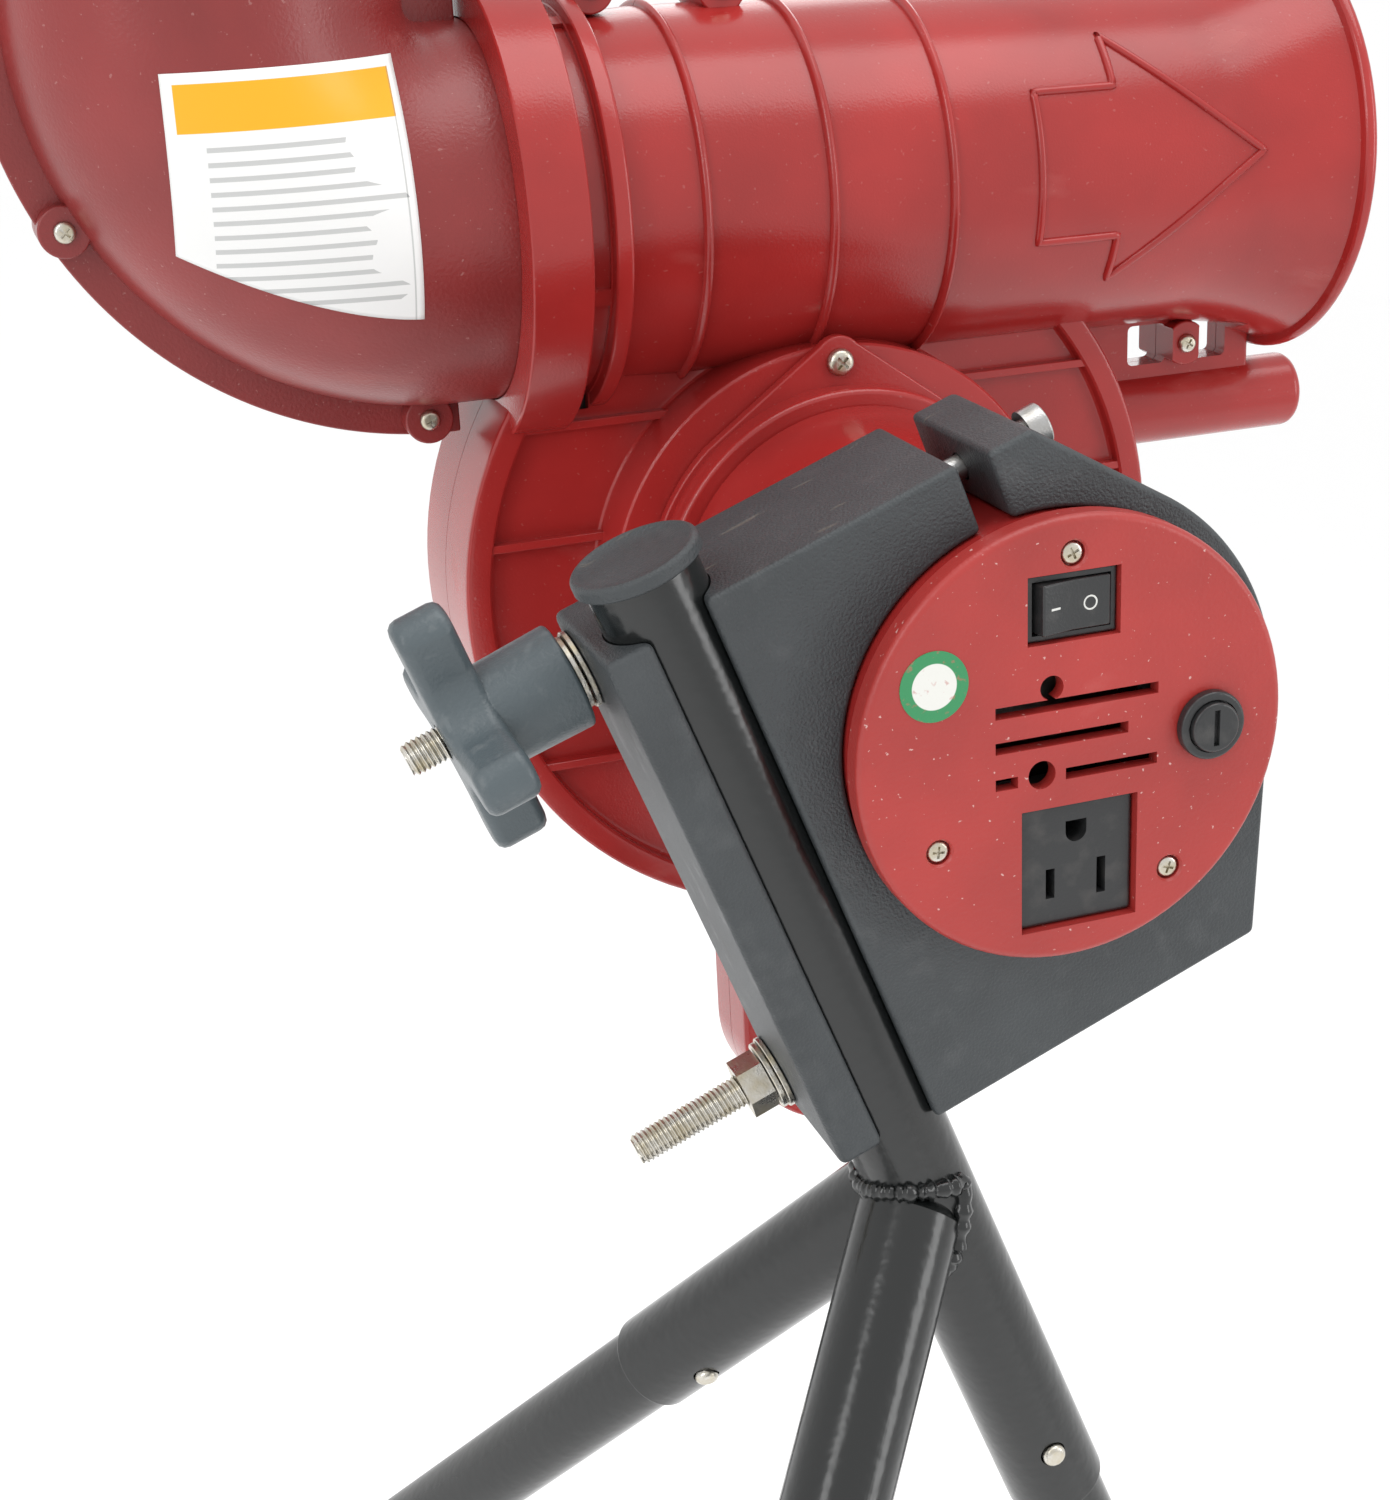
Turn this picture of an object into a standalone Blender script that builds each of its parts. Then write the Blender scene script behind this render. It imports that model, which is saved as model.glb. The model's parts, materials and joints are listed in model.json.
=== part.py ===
"""Baseball pitching machine: a one-wheel pitching head clamped to the post of a tripod.

Metres, +Z up, +X the way the ball leaves, -Y the side with the switch panel.
The tripod stands on Z = 0. Three frames hold the pieces: the tripod's own, upright one, the
clamp's, whose Z runs up the leaning post, and the head's, whose X is the barrel's direction.
"""

import math

import bmesh
import bpy
from mathutils import Matrix, Vector

# ---- clearances ----
FIT = 0.0003          # gap left between touching pieces
ROUND_FIT = 0.0004    # radial gap of a pin in its hole

# ---- tripod ----
LEAN = math.radians(36.4)        # each leg, and the post, from the vertical
LEG_REACH = 0.800                # from the apex to the floor, along a leg
POST_R = 0.0127
LEG_R = 0.0111
LEG_WALL = 0.0012
SOCKET_WALL = 0.00125
STUB_LENGTH = 0.106              # apex to a socket's mouth
STUB_MITRE = 0.0090              # the stubs' ends taper into the post
SOCKET_DEPTH = 0.072
CAP_R = 0.0146
CAP_FLANGE = 0.0035
CAP_PLUG = 0.016
BUTTON_R = 0.0030
BUTTON_COLLAR_R = 0.0042         # the collar keeps the button inside its tube
BUTTON_PROUD = 0.0016
LEAF_WIDTH = 0.0044              # the spring leaf that carries a button, inside the tube
LEAF_THICK = 0.0006
LEAF_LENGTH = 0.0300
BUTTON_FROM_MOUTH = 0.019
FOOT_R = 0.0165
FOOT_GRIP = 0.024                # how far a leg goes into its foot

# ---- clamp: x from the motor's axis towards the muzzle, y back from the panel, z up the post ----
POST_X = -0.068
POST_Y = 0.0245
APEX_BELOW = 0.0988              # motor axis to the tripod's apex, along the post
POST_ABOVE = 0.0745              # motor axis to the post's top end
BLOCK_FRONT = 0.0115
BLOCK_DEPTH = 0.0415
BLOCK_LEFT = -0.0600
BLOCK_TOP = 0.0665
BLOCK_FOOT = -0.0770
RING_R = 0.0567
SLOT_LEFT = 0.0009
SLOT_RIGHT = 0.0084
LUG_RIGHT = 0.0195
LUG_TOP = 0.0655
BAR_LEFT = -0.0850
BAR_RIGHT = -0.0740
BAR_TOP = 0.0640
BAR_FOOT = -0.0755
STUD_R = 0.0040
STUD_Y = 0.0434
STUD_UPPER_Z = 0.0530
STUD_LOWER_Z = -0.0640
STUD_IN_BLOCK = 0.021
WASHER_R = 0.0092
WASHER_THICK = 0.0013
HUB_R = 0.0120
HUB_LENGTH = 0.0185
KNOB_R = 0.0312
KNOB_LOBE = 0.0128
KNOB_LOBE_WIDTH = 0.0150
STUD_PAST_KNOB = 0.0090
STUD_PAST_NUT = 0.0290
NUT_ACROSS = 0.0130
NUT_THICK = 0.0066
PINCH_Y = 0.0320
PINCH_Z = 0.0572
PINCH_R = 0.0030
PINCH_HEAD_R = 0.0050
PINCH_SEAT = 0.0245
PINCH_HEAD = 0.0050
PINCH_IN_BLOCK = 0.0190

# ---- head: x along the barrel, y back from the panel, z up; its origin is on the motor's axis ----
HEAD_TURN = math.radians(20.6)   # the barrel, below the square to the post
PANEL_R = 0.0517
PANEL_THICK = 0.0058
PANEL_LIP = 0.0050
CASE_R = 0.0497
CASE_WALL = 0.0030
COVER_FRONT = 0.1260
COVER_DISH_R = 0.0540
COVER_DISH = 0.0070
COVER_PLATE = 0.0035
EAR_RING = 0.0600
EAR_R = 0.0068
EAR_ANGLES = (90, 210, 330)
MOTOR_R = 0.0370
MOTOR_LENGTH = 0.0880
MOTOR_FLANGE = 0.0060
SHAFT_R = 0.0050
SHAFT_HOLE_R = 0.0090

WHEEL_Y = 0.1740                 # the plane of the wheel, the barrel's axis and the parting line
DRUM_R = 0.1000
DRUM_HALF = 0.0240
DRUM_WALL = 0.0028
RIM_WIDTH = 0.0070
FACE_STEP = 0.0040               # how far the side faces lie inside the rim
PLINTH_R = 0.0640
WHEEL_R = 0.0850
TYRE_THICK = 0.0160
WHEEL_WIDTH = 0.0300
HUB_BORE_WALL = 0.0090
WHEEL_CLEARANCE = 0.0035
LOBE_X = 0.0080
LOBE_Z = -0.1480
LOBE_R = 0.0330
LOBE_HALF = 0.0130

BARREL_Z = 0.1010
BARREL_R = 0.0480
BORE_R = 0.0450
RIB_HEIGHT = 0.0017
RIB_WIDTH = 0.0026
RIB_PLACES = (-0.0365, -0.0028, 0.0302)
BARREL_REAR = -0.0620
MUZZLE = 0.1490
BELL_START = 0.1290
BELL_R = 0.0560
BELL_STEPS = 4
RIM_R = 0.0590
COLLAR_FRONT = -0.0690
COLLAR_REAR = -0.0845
COLLAR_R = 0.0588
NECK_R = 0.0500
RING_BAND = 0.0036

HANDLE_Z = 0.0270
HANDLE_R = 0.0108
HANDLE_END = 0.1600
WEB_THICK = 0.0100
WINDOWS = ((0.1040, 0.1160), (0.1245, 0.1360))
WINDOW_LOW = 0.0405
WINDOW_HIGH = 0.0520

ELBOW_TURN_X = -0.0950           # the bend's centre, above the barrel's axis by ELBOW_R
ELBOW_R = 0.0520
ELBOW_TUBE_R = 0.0480
ELBOW_BORE_R = 0.0450
ELBOW_TOP = 0.2150
SPIGOT_END = -0.0700
FLANGE_HEIGHT = 0.0080
FLANGE_HALF = 0.0035
FLANGE_START = -0.0930           # the belly flange stops clear of the drum's rim
MOUTH_R = 0.0530
MOUTH_BAND = 0.0060
BOSS_R = 0.0064
SCREW_R = 0.0020
SCREW_HEAD_R = 0.0036
SCREW_HEAD = 0.0022

# ---- the panel's fittings ----
SWITCH = (-0.0006, 0.0316, 0.0217, 0.0149)     # centre x, centre z, width, height
OUTLET = (0.0012, -0.0291, 0.0280, 0.0290)
FITTING_SINK = 0.0015
ROCKER_INSET = 0.0017
ROCKER_TIP = math.radians(12)    # its raised end slopes by this, to clear the well as it tips
ROCKER_LOW, ROCKER_HIGH = 0.0054, 0.0072
SLOT_HIGH = 0.0027
SLOT_RUNS = ((0.0098, -0.0194, 0.0202), (0.0017, -0.0194, 0.0129),
             (-0.0068, -0.0194, -0.0140), (-0.0068, -0.0024, 0.0202))
BOSS_HOLES = ((-0.0059, 0.0138, 0.0028), (-0.0082, -0.0061, 0.0033))
BOSS_WALL = 0.0014
PANEL_SCREW_HEAD = 0.0026
PANEL_SCREW_R = 0.0014
PANEL_SCREW_SINK = 0.0020
PANEL_SCREWS = ((-0.0008, 0.0432), (-0.0329, -0.0202), (0.0240, -0.0345))
FUSE = (0.0329, -0.0007)
FUSE_R = 0.0080
FUSE_CAP_R = 0.0058
FUSE_STEM_R = 0.0048

FINE, TUBE, MEDIUM, COARSE = 36, 28, 20, 8

COLOURS = {
    "red_plastic": ((0.42, 0.030, 0.028, 1), 0.32, 0.0),
    "panel_red": ((0.45, 0.036, 0.036, 1), 0.40, 0.0),
    "black_plastic": ((0.045, 0.052, 0.056, 1), 0.55, 0.0),
    "knob_plastic": ((0.085, 0.105, 0.118, 1), 0.45, 0.0),
    "black_paint": ((0.012, 0.012, 0.013, 1), 0.35, 0.0),
    "zinc": ((0.62, 0.60, 0.54, 1), 0.32, 1.0),
    "steel": ((0.50, 0.50, 0.50, 1), 0.30, 1.0),
    "tyre_rubber": ((0.030, 0.030, 0.030, 1), 0.80, 0.0),
    "foot_rubber": ((0.020, 0.020, 0.020, 1), 0.85, 0.0),
    "hub_metal": ((0.62, 0.62, 0.62, 1), 0.35, 1.0),
}


def clear_scene():
    for obj in list(bpy.data.objects):
        bpy.data.objects.remove(obj)


def make_material(name):
    colour, roughness, metallic = COLOURS[name]
    material = bpy.data.materials.new(name)
    material.use_nodes = True
    shader = material.node_tree.nodes["Principled BSDF"]
    shader.inputs["Base Color"].default_value = colour
    shader.inputs["Roughness"].default_value = roughness
    shader.inputs["Metallic"].default_value = metallic
    return material


def frame(name, parent=None, place=(0, 0, 0), turn=Matrix()):
    """An empty that holds pieces, or a moving piece's axis."""
    empty = bpy.data.objects.new(name, None)
    bpy.context.collection.objects.link(empty)
    empty.parent = parent
    empty.matrix_local = Matrix.Translation(place) @ turn.to_4x4()
    return empty


ALONG = {
    "X": Matrix.Rotation(math.radians(90), 4, "Y"),
    "Y": Matrix.Rotation(math.radians(-90), 4, "X"),
    "Z": Matrix(),
}


def add(name, mesh, parent, place=(0, 0, 0), axis="Z", material=None, smooth=40):
    """A finished bmesh as an object: its own Z is laid along the parent's X, Y or Z."""
    bmesh.ops.recalc_face_normals(mesh, faces=mesh.faces)
    data = bpy.data.meshes.new(name)
    mesh.to_mesh(data)
    mesh.free()
    if smooth:
        data.shade_smooth()
        data.set_sharp_from_angle(angle=math.radians(smooth))
    obj = bpy.data.objects.new(name, data)
    bpy.context.collection.objects.link(obj)
    obj.parent = parent
    obj.matrix_local = Matrix.Translation(place) @ ALONG[axis]
    if material:
        data.materials.append(MATERIALS[material])
    else:
        obj.hide_render = True
        obj.display_type = "WIRE"
    return obj


def turned(profile, steps=MEDIUM):
    """A closed profile of (radius, height) points spun about Z, with no corner on the XZ plane."""
    mesh = bmesh.new()
    first = math.pi / steps
    points = [mesh.verts.new((radius * math.cos(first), radius * math.sin(first), height))
              for radius, height in profile]
    edges = [mesh.edges.new((points[i - 1], points[i])) for i in range(len(points))
             if profile[i - 1][0] > 0 or profile[i][0] > 0]
    bmesh.ops.spin(mesh, geom=points + edges, axis=(0, 0, 1), cent=(0, 0, 0),
                   angle=2 * math.pi, steps=steps, use_merge=True)
    bmesh.ops.remove_doubles(mesh, verts=mesh.verts, dist=1e-6)
    return mesh


def rod(radius, low, high, steps=MEDIUM, edge=0.0):
    """A cylinder from low to high on Z, with its end edges chamfered by edge."""
    if edge:
        profile = [(0, low), (radius - edge, low), (radius, low + edge),
                   (radius, high - edge), (radius - edge, high), (0, high)]
    else:
        profile = [(0, low), (radius, low), (radius, high), (0, high)]
    return turned(profile, steps)


def pipe(outer, inner, low, high, steps=MEDIUM):
    return turned([(inner, low), (outer, low), (outer, high), (inner, high)], steps)


def slab(outline, low, high):
    """An outline of (x, z) points, extruded along Y from low to high."""
    mesh = bmesh.new()
    face = mesh.faces.new([mesh.verts.new((x, low, z)) for x, z in outline])
    grown = bmesh.ops.extrude_face_region(mesh, geom=[face])["geom"]
    moved = [item for item in grown if isinstance(item, bmesh.types.BMVert)]
    bmesh.ops.translate(mesh, verts=moved, vec=(0, high - low, 0))
    return mesh


def brick(low, high):
    mesh = bmesh.new()
    size = Vector(high) - Vector(low)
    middle = (Vector(high) + Vector(low)) / 2
    bmesh.ops.create_cube(mesh, size=1, matrix=Matrix.Translation(middle) @ Matrix.Diagonal((*size, 1)))
    return mesh


def arc(centre, radius, start, end, steps):
    """Points on an arc, from start to end in degrees."""
    turn = [math.radians(start + (end - start) * i / steps) for i in range(steps + 1)]
    return [(centre[0] + radius * math.cos(a), centre[1] + radius * math.sin(a)) for a in turn]


def boolean(obj, operation, tools):
    """The body shells are closed at every step, so they take the solver that keeps them closed."""
    for tool in tools:
        modifier = obj.modifiers.new(f"{operation.lower()}_{tool.name}", "BOOLEAN")
        modifier.operation = operation
        modifier.object = tool
        modifier.solver = "MANIFOLD" if obj.name.endswith(("_shell", "_elbow")) else "EXACT"


def cut(obj, *tools):
    boolean(obj, "DIFFERENCE", tools)


def fuse(obj, *tools):
    boolean(obj, "UNION", tools)


def soften(obj, width, segments=1):
    modifier = obj.modifiers.new("edge_rounding", "BEVEL")
    modifier.width = width
    modifier.segments = segments
    modifier.limit_method = "ANGLE"
    modifier.angle_limit = math.radians(40)
    modifier.harden_normals = False


def lifted(direction):
    """The rotation that turns Z to a direction and keeps Y level."""
    up = Vector(direction).normalized()
    across = up.cross(Vector((1, 0, 0))).normalized() if abs(up.x) < 0.9 else Vector((0, 1, 0))
    return Matrix((across.cross(up), across, up)).transposed()


# ------------------------------------------------------------------ tripod
def leg_direction(turn):
    """From the floor up to the apex, for a leg at this bearing from the throwing direction."""
    bearing = math.radians(turn)
    return Vector((-math.sin(LEAN) * math.cos(bearing), -math.sin(LEAN) * math.sin(bearing), math.cos(LEAN)))


LEG_TURNS = {"front": 0, "rear_left": 120, "rear_right": 240}
APEX_HEIGHT = LEG_REACH * math.cos(LEAN) + FOOT_R
SOCKET_R = LEG_R + ROUND_FIT
STUB_R = SOCKET_R + SOCKET_WALL
POST_TOP = APEX_BELOW + POST_ABOVE


def make_tripod(root):
    apex = frame("tripod_apex", root, (0, 0, APEX_HEIGHT))
    leg_frames = {name: frame(f"{name}_leg_axis", apex, turn=lifted(leg_direction(turn)))
                  for name, turn in LEG_TURNS.items()}
    post = leg_frames["front"]
    hub = add("tripod_hub", rod(POST_R, -STUB_LENGTH, POST_TOP, TUBE), post, material="black_paint")
    for name in ("rear_left", "rear_right"):
        stub = [(0, -STUB_LENGTH), (STUB_R, -STUB_LENGTH), (STUB_R, -STUB_MITRE), (STUB_R / 2, 0), (0, 0)]
        fuse(hub, add(f"{name}_stub", turned(stub, TUBE), leg_frames[name]))
    hollow = add("post_hollow", rod(SOCKET_R, POST_TOP - 0.12, POST_TOP + 0.01, TUBE), post)
    cut(hub, hollow)
    for name, axis in leg_frames.items():
        bore = rod(SOCKET_R, -STUB_LENGTH - 0.01, SOCKET_DEPTH - STUB_LENGTH, TUBE)
        cut(hub, add(f"{name}_socket", bore, axis))
        make_leg(name, axis, hub)
    cap = [(0, POST_TOP - CAP_PLUG), (SOCKET_R - FIT, POST_TOP - CAP_PLUG),
           (SOCKET_R - FIT, POST_TOP + FIT),
           (CAP_R - 0.0006, POST_TOP + FIT), (CAP_R, POST_TOP + FIT + 0.0006),
           (CAP_R, POST_TOP + FIT + CAP_FLANGE - 0.0012),
           (CAP_R - 0.0012, POST_TOP + FIT + CAP_FLANGE), (0, POST_TOP + FIT + CAP_FLANGE + 0.0004)]
    add("post_cap", turned(cap), post, material="black_plastic")
    return post


def make_leg(name, axis, hub):
    """A leg tube, its snap button and its foot, and the button's hole in the socket."""
    top = SOCKET_DEPTH - STUB_LENGTH - FIT
    foot_axis = frame(f"{name}_leg_slide", axis)
    tube = pipe(LEG_R, LEG_R - LEG_WALL, -LEG_REACH, top, 20)
    leg = add(f"{name}_leg", tube, foot_axis, material="black_paint")
    mouth = BUTTON_FROM_MOUTH - STUB_LENGTH
    side = frame(f"{name}_button_axis", foot_axis, (0, 0, mouth), Matrix.Rotation(math.radians(90), 3, "X"))
    hole = rod(BUTTON_R + ROUND_FIT, LEG_R - LEG_WALL - 0.002, STUB_R + 0.01, COARSE)
    button_hole = add(f"{name}_button_hole", hole, side)
    cut(leg, button_hole)
    cut(hub, button_hole)
    collar_top = math.sqrt(((LEG_R - LEG_WALL) * 0.985) ** 2 - BUTTON_COLLAR_R ** 2) - FIT
    low, high = collar_top - 0.001, STUB_R + BUTTON_PROUD
    button = [(0, low), (BUTTON_COLLAR_R, low), (BUTTON_COLLAR_R, collar_top), (BUTTON_R, collar_top),
              (BUTTON_R, high - 0.0010), (BUTTON_R * 0.7, high), (0, high)]
    button = add(f"{name}_snap_button", turned(button, COARSE), side, material="zinc")
    leaf = brick((-LEAF_WIDTH / 2, 0, low - 0.0002), (LEAF_WIDTH / 2, LEAF_LENGTH, low + LEAF_THICK - 0.0002))
    fuse(button, add(f"{name}_button_leaf", leaf, side))
    grip = -LEG_REACH + FOOT_GRIP
    foot = [(0, -LEG_REACH - FIT), (LEG_R + FIT, -LEG_REACH - FIT), (LEG_R + FIT, grip), (LEG_R + 0.0022, grip),
            (FOOT_R, grip - 0.010)]
    foot += [(FOOT_R * math.cos(a), -LEG_REACH - FOOT_R * math.sin(a))
             for a in (math.radians(step * 30) for step in range(0, 3))]
    foot.append((0, -LEG_REACH - FOOT_R))
    add(f"{name}_foot", turned(foot, 16), foot_axis, material="foot_rubber")


# ------------------------------------------------------------------ clamp
def ring_tangent(point, side):
    """The angle, in degrees, where a line from the point touches the clamp ring."""
    distance = math.hypot(*point)
    return math.degrees(math.atan2(point[1], point[0]) + side * math.acos(RING_R / distance))


def block_outline():
    lug = (LUG_RIGHT, LUG_TOP)
    foot = (BLOCK_FOOT_RIGHT, BLOCK_FOOT)
    bore = CASE_R + ROUND_FIT
    right_edge = math.degrees(math.acos(SLOT_RIGHT / bore))
    left_edge = math.degrees(math.acos(SLOT_LEFT / bore))
    outline = [(BLOCK_LEFT, BLOCK_FOOT), foot]
    outline += arc((0, 0), RING_R, ring_tangent(foot, 1), ring_tangent(lug, -1), 10)
    outline += [lug, (SLOT_RIGHT, LUG_TOP)]
    outline += arc((0, 0), bore, right_edge, left_edge - 360, FINE)
    outline += [(SLOT_LEFT, BLOCK_TOP), (BLOCK_LEFT, BLOCK_TOP)]
    return outline


BLOCK_FOOT_RIGHT = 0.0290
BLOCK_BACK = BLOCK_FRONT + BLOCK_DEPTH
KNOB_SEAT = BAR_LEFT - FIT - 2 * (WASHER_THICK + FIT)
LOBE_BASE = KNOB_SEAT - HUB_LENGTH
KNOB_FACE = LOBE_BASE - KNOB_LOBE


def make_clamp(clamp):
    block = add("clamp_block", slab(block_outline(), BLOCK_FRONT, BLOCK_BACK), clamp, material="black_plastic")
    soften(block, 0.0012)
    bar_mesh = brick((BAR_LEFT, BLOCK_FRONT, BAR_FOOT), (BAR_RIGHT, BLOCK_BACK, BAR_TOP))
    bar = add("clamp_bar", bar_mesh, clamp, material="black_plastic")
    soften(bar, 0.0015)
    groove = add("post_groove", rod(POST_R + FIT, BLOCK_FOOT - 0.01, BLOCK_TOP + 0.01, TUBE), clamp, (POST_X, POST_Y, 0))
    cut(block, groove)
    cut(bar, groove)
    hole = STUD_R + ROUND_FIT
    for name, height in (("upper", STUD_UPPER_Z), ("lower", STUD_LOWER_Z)):
        mesh = rod(hole, BAR_LEFT - 0.01, BLOCK_LEFT + STUD_IN_BLOCK + FIT, 16)
        stud_hole = add(f"{name}_stud_hole", mesh, clamp, (0, STUD_Y, height), "X")
        cut(block, stud_hole)
        cut(bar, stud_hole)
    pinch_hole = rod(PINCH_R + ROUND_FIT, -PINCH_IN_BLOCK - FIT, 0.06, COARSE)
    pinch_seat = rod(PINCH_HEAD_R + ROUND_FIT, PINCH_SEAT, 0.06, 16)
    cut(block, add("pinch_hole", pinch_hole, clamp, (0, PINCH_Y, PINCH_Z), "X"),
        add("pinch_seat", pinch_seat, clamp, (0, PINCH_Y, PINCH_Z), "X"))
    head = PINCH_SEAT + FIT
    pinch = [(0, -PINCH_IN_BLOCK), (PINCH_R, -PINCH_IN_BLOCK), (PINCH_R, head), (PINCH_HEAD_R, head),
             (PINCH_HEAD_R, head + PINCH_HEAD - 0.0005), (PINCH_HEAD_R - 0.0005, head + PINCH_HEAD),
             (0.0022, head + PINCH_HEAD), (0.0022, head + PINCH_HEAD - 0.003), (0, head + PINCH_HEAD - 0.003)]
    add("pinch_bolt", turned(pinch, COARSE), clamp, (0, PINCH_Y, PINCH_Z), "X", "steel")
    make_knob_side(clamp)
    make_nut_side(clamp)


def make_stud(name, clamp, tip, height):
    end = BLOCK_LEFT + STUD_IN_BLOCK
    mesh = rod(STUD_R, tip, end, COARSE, 0.0006)
    add(name, mesh, clamp, (0, STUD_Y, height), "X", "zinc")


def make_washers(name, clamp, height):
    for i in range(2):
        low = BAR_LEFT - (i + 1) * (WASHER_THICK + FIT)
        mesh = pipe(WASHER_R - 0.0006 * i, STUD_R + ROUND_FIT, low, low + WASHER_THICK, 16)
        label = ("inner", "outer")[i]
        add(f"{name}_{label}_washer", mesh, clamp, (0, STUD_Y, height), "X", "zinc")


def lobe_outline(steps=4):
    """Four round-ended lobes round the knob's middle, with filleted roots."""
    half = KNOB_LOBE_WIDTH / 2
    points = []
    for quarter in range(4):
        turn = Matrix.Rotation(quarter * math.pi / 2, 2)
        lobe = arc((KNOB_R - half * 0.75, 0), half * 0.75, -65, 65, steps)
        root = half * 1.15
        lobe = [(half * 1.9, -half * 0.92), *lobe, (half * 1.9, half * 0.92), (root, root)]
        points += [tuple(turn @ Vector(point)) for point in lobe]
    return points


def make_knob_side(clamp):
    make_stud("upper_stud", clamp, KNOB_FACE - STUD_PAST_KNOB, STUD_UPPER_Z)
    make_washers("knob", clamp, STUD_UPPER_Z)
    knob_axis = frame("knob_axis", clamp, (0, STUD_Y, STUD_UPPER_Z))
    hub = rod(HUB_R, LOBE_BASE - 0.004, KNOB_SEAT, MEDIUM, 0.0006)
    knob = add("star_knob", hub, knob_axis, axis="X", material="knob_plastic")
    lobes = add("knob_lobes", slab(lobe_outline(), KNOB_FACE, LOBE_BASE), knob_axis,
                (0, 0, 0))
    lobes.matrix_local = Matrix.Rotation(math.radians(-90), 4, "Z") @ Matrix.Rotation(math.radians(8), 4, "Y")
    soften(lobes, 0.0014)
    fuse(knob, lobes)
    cut(knob, add("knob_hole", rod(STUD_R + ROUND_FIT, KNOB_FACE - 0.01, 0, 16), knob_axis, axis="X"))


def make_nut_side(clamp):
    nut_face = KNOB_SEAT - NUT_THICK
    make_stud("lower_stud", clamp, nut_face - STUD_PAST_NUT, STUD_LOWER_Z)
    make_washers("nut", clamp, STUD_LOWER_Z)
    corner = NUT_ACROSS / math.sqrt(3)
    nut = add("lower_nut", rod(corner, nut_face, KNOB_SEAT, 6), clamp, (0, STUD_Y, STUD_LOWER_Z), "X", "zinc", 20)
    cut(nut, add("nut_hole", rod(STUD_R + ROUND_FIT, nut_face - 0.01, 0, 16), clamp, (0, STUD_Y, STUD_LOWER_Z), "X"))


# ------------------------------------------------------------------ motor end
def make_panel(head):
    front = [(0, 0), (PANEL_R - 0.0016, 0), (PANEL_R - 0.0005, 0.0004), (PANEL_R, 0.0016),
             (PANEL_R, PANEL_THICK), (CASE_R - CASE_WALL - FIT, PANEL_THICK),
             (CASE_R - CASE_WALL - FIT, PANEL_THICK + PANEL_LIP),
             (CASE_R - 2 * CASE_WALL, PANEL_THICK + PANEL_LIP), (CASE_R - 2 * CASE_WALL, PANEL_THICK - 0.0022),
             (0, PANEL_THICK - 0.0022)]
    panel = add("end_panel", turned(front, FINE), head, axis="Y", material="panel_red")
    for i, (z, left, right) in enumerate(SLOT_RUNS):
        mesh = brick((left, -0.01, z - SLOT_HIGH / 2), (right, 0.03, z + SLOT_HIGH / 2))
        cut(panel, add(f"vent_slot_{i}", mesh, head))
    for i, (x, z, radius) in enumerate(BOSS_HOLES):
        boss = rod(radius + BOSS_WALL, 0.0002, PANEL_THICK - 0.0026, 12)
        fuse(panel, add(f"vent_boss_{i}", boss, head, (x, 0, z), "Y"))
    for i, (x, z, radius) in enumerate(BOSS_HOLES):
        cut(panel, add(f"vent_hole_{i}", rod(radius, -0.01, 0.03, COARSE), head, (x, 0, z), "Y"))
    for name, (x, z, width, height) in (("switch", SWITCH), ("outlet", OUTLET)):
        half_w, half_h = width / 2 + FIT, height / 2 + FIT
        mesh = brick((x - half_w, -0.01, z - half_h), (x + half_w, 0.03, z + half_h))
        cut(panel, add(f"{name}_window", mesh, head))
    stem = rod(FUSE_STEM_R + ROUND_FIT, -0.01, 0.03, 16)
    cut(panel, add("fuse_window", stem, head, (FUSE[0], 0, FUSE[1]), "Y"))
    for i, (x, z) in enumerate(PANEL_SCREWS):
        hole = [(0, -0.01), (PANEL_SCREW_HEAD + FIT, -0.01), (PANEL_SCREW_HEAD + FIT, PANEL_SCREW_SINK),
                (PANEL_SCREW_R + FIT, PANEL_SCREW_SINK), (PANEL_SCREW_R + FIT, 0.03), (0, 0.03)]
        cut(panel, add(f"panel_screw_hole_{i}", turned(hole, COARSE), head, (x, 0, z), "Y"))
        make_screw(f"panel_screw_{i + 1}", head, (x, PANEL_SCREW_SINK - FIT, z), 0.0080, PANEL_SCREW_HEAD,
                   0.0012, PANEL_SCREW_R)


def make_screw(name, parent, seat, length, head_r=SCREW_HEAD_R, thick=SCREW_HEAD, radius=SCREW_R):
    """A pan-head screw along Y; seat is where its head lands, and its head points to -Y."""
    shape = [(0, length), (radius, length), (radius, 0), (head_r, 0), (head_r, -thick * 0.6),
             (head_r * 0.72, -thick), (0, -thick)]
    return add(name, turned(shape[::-1], COARSE), parent, seat, "Y", "zinc")


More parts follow.
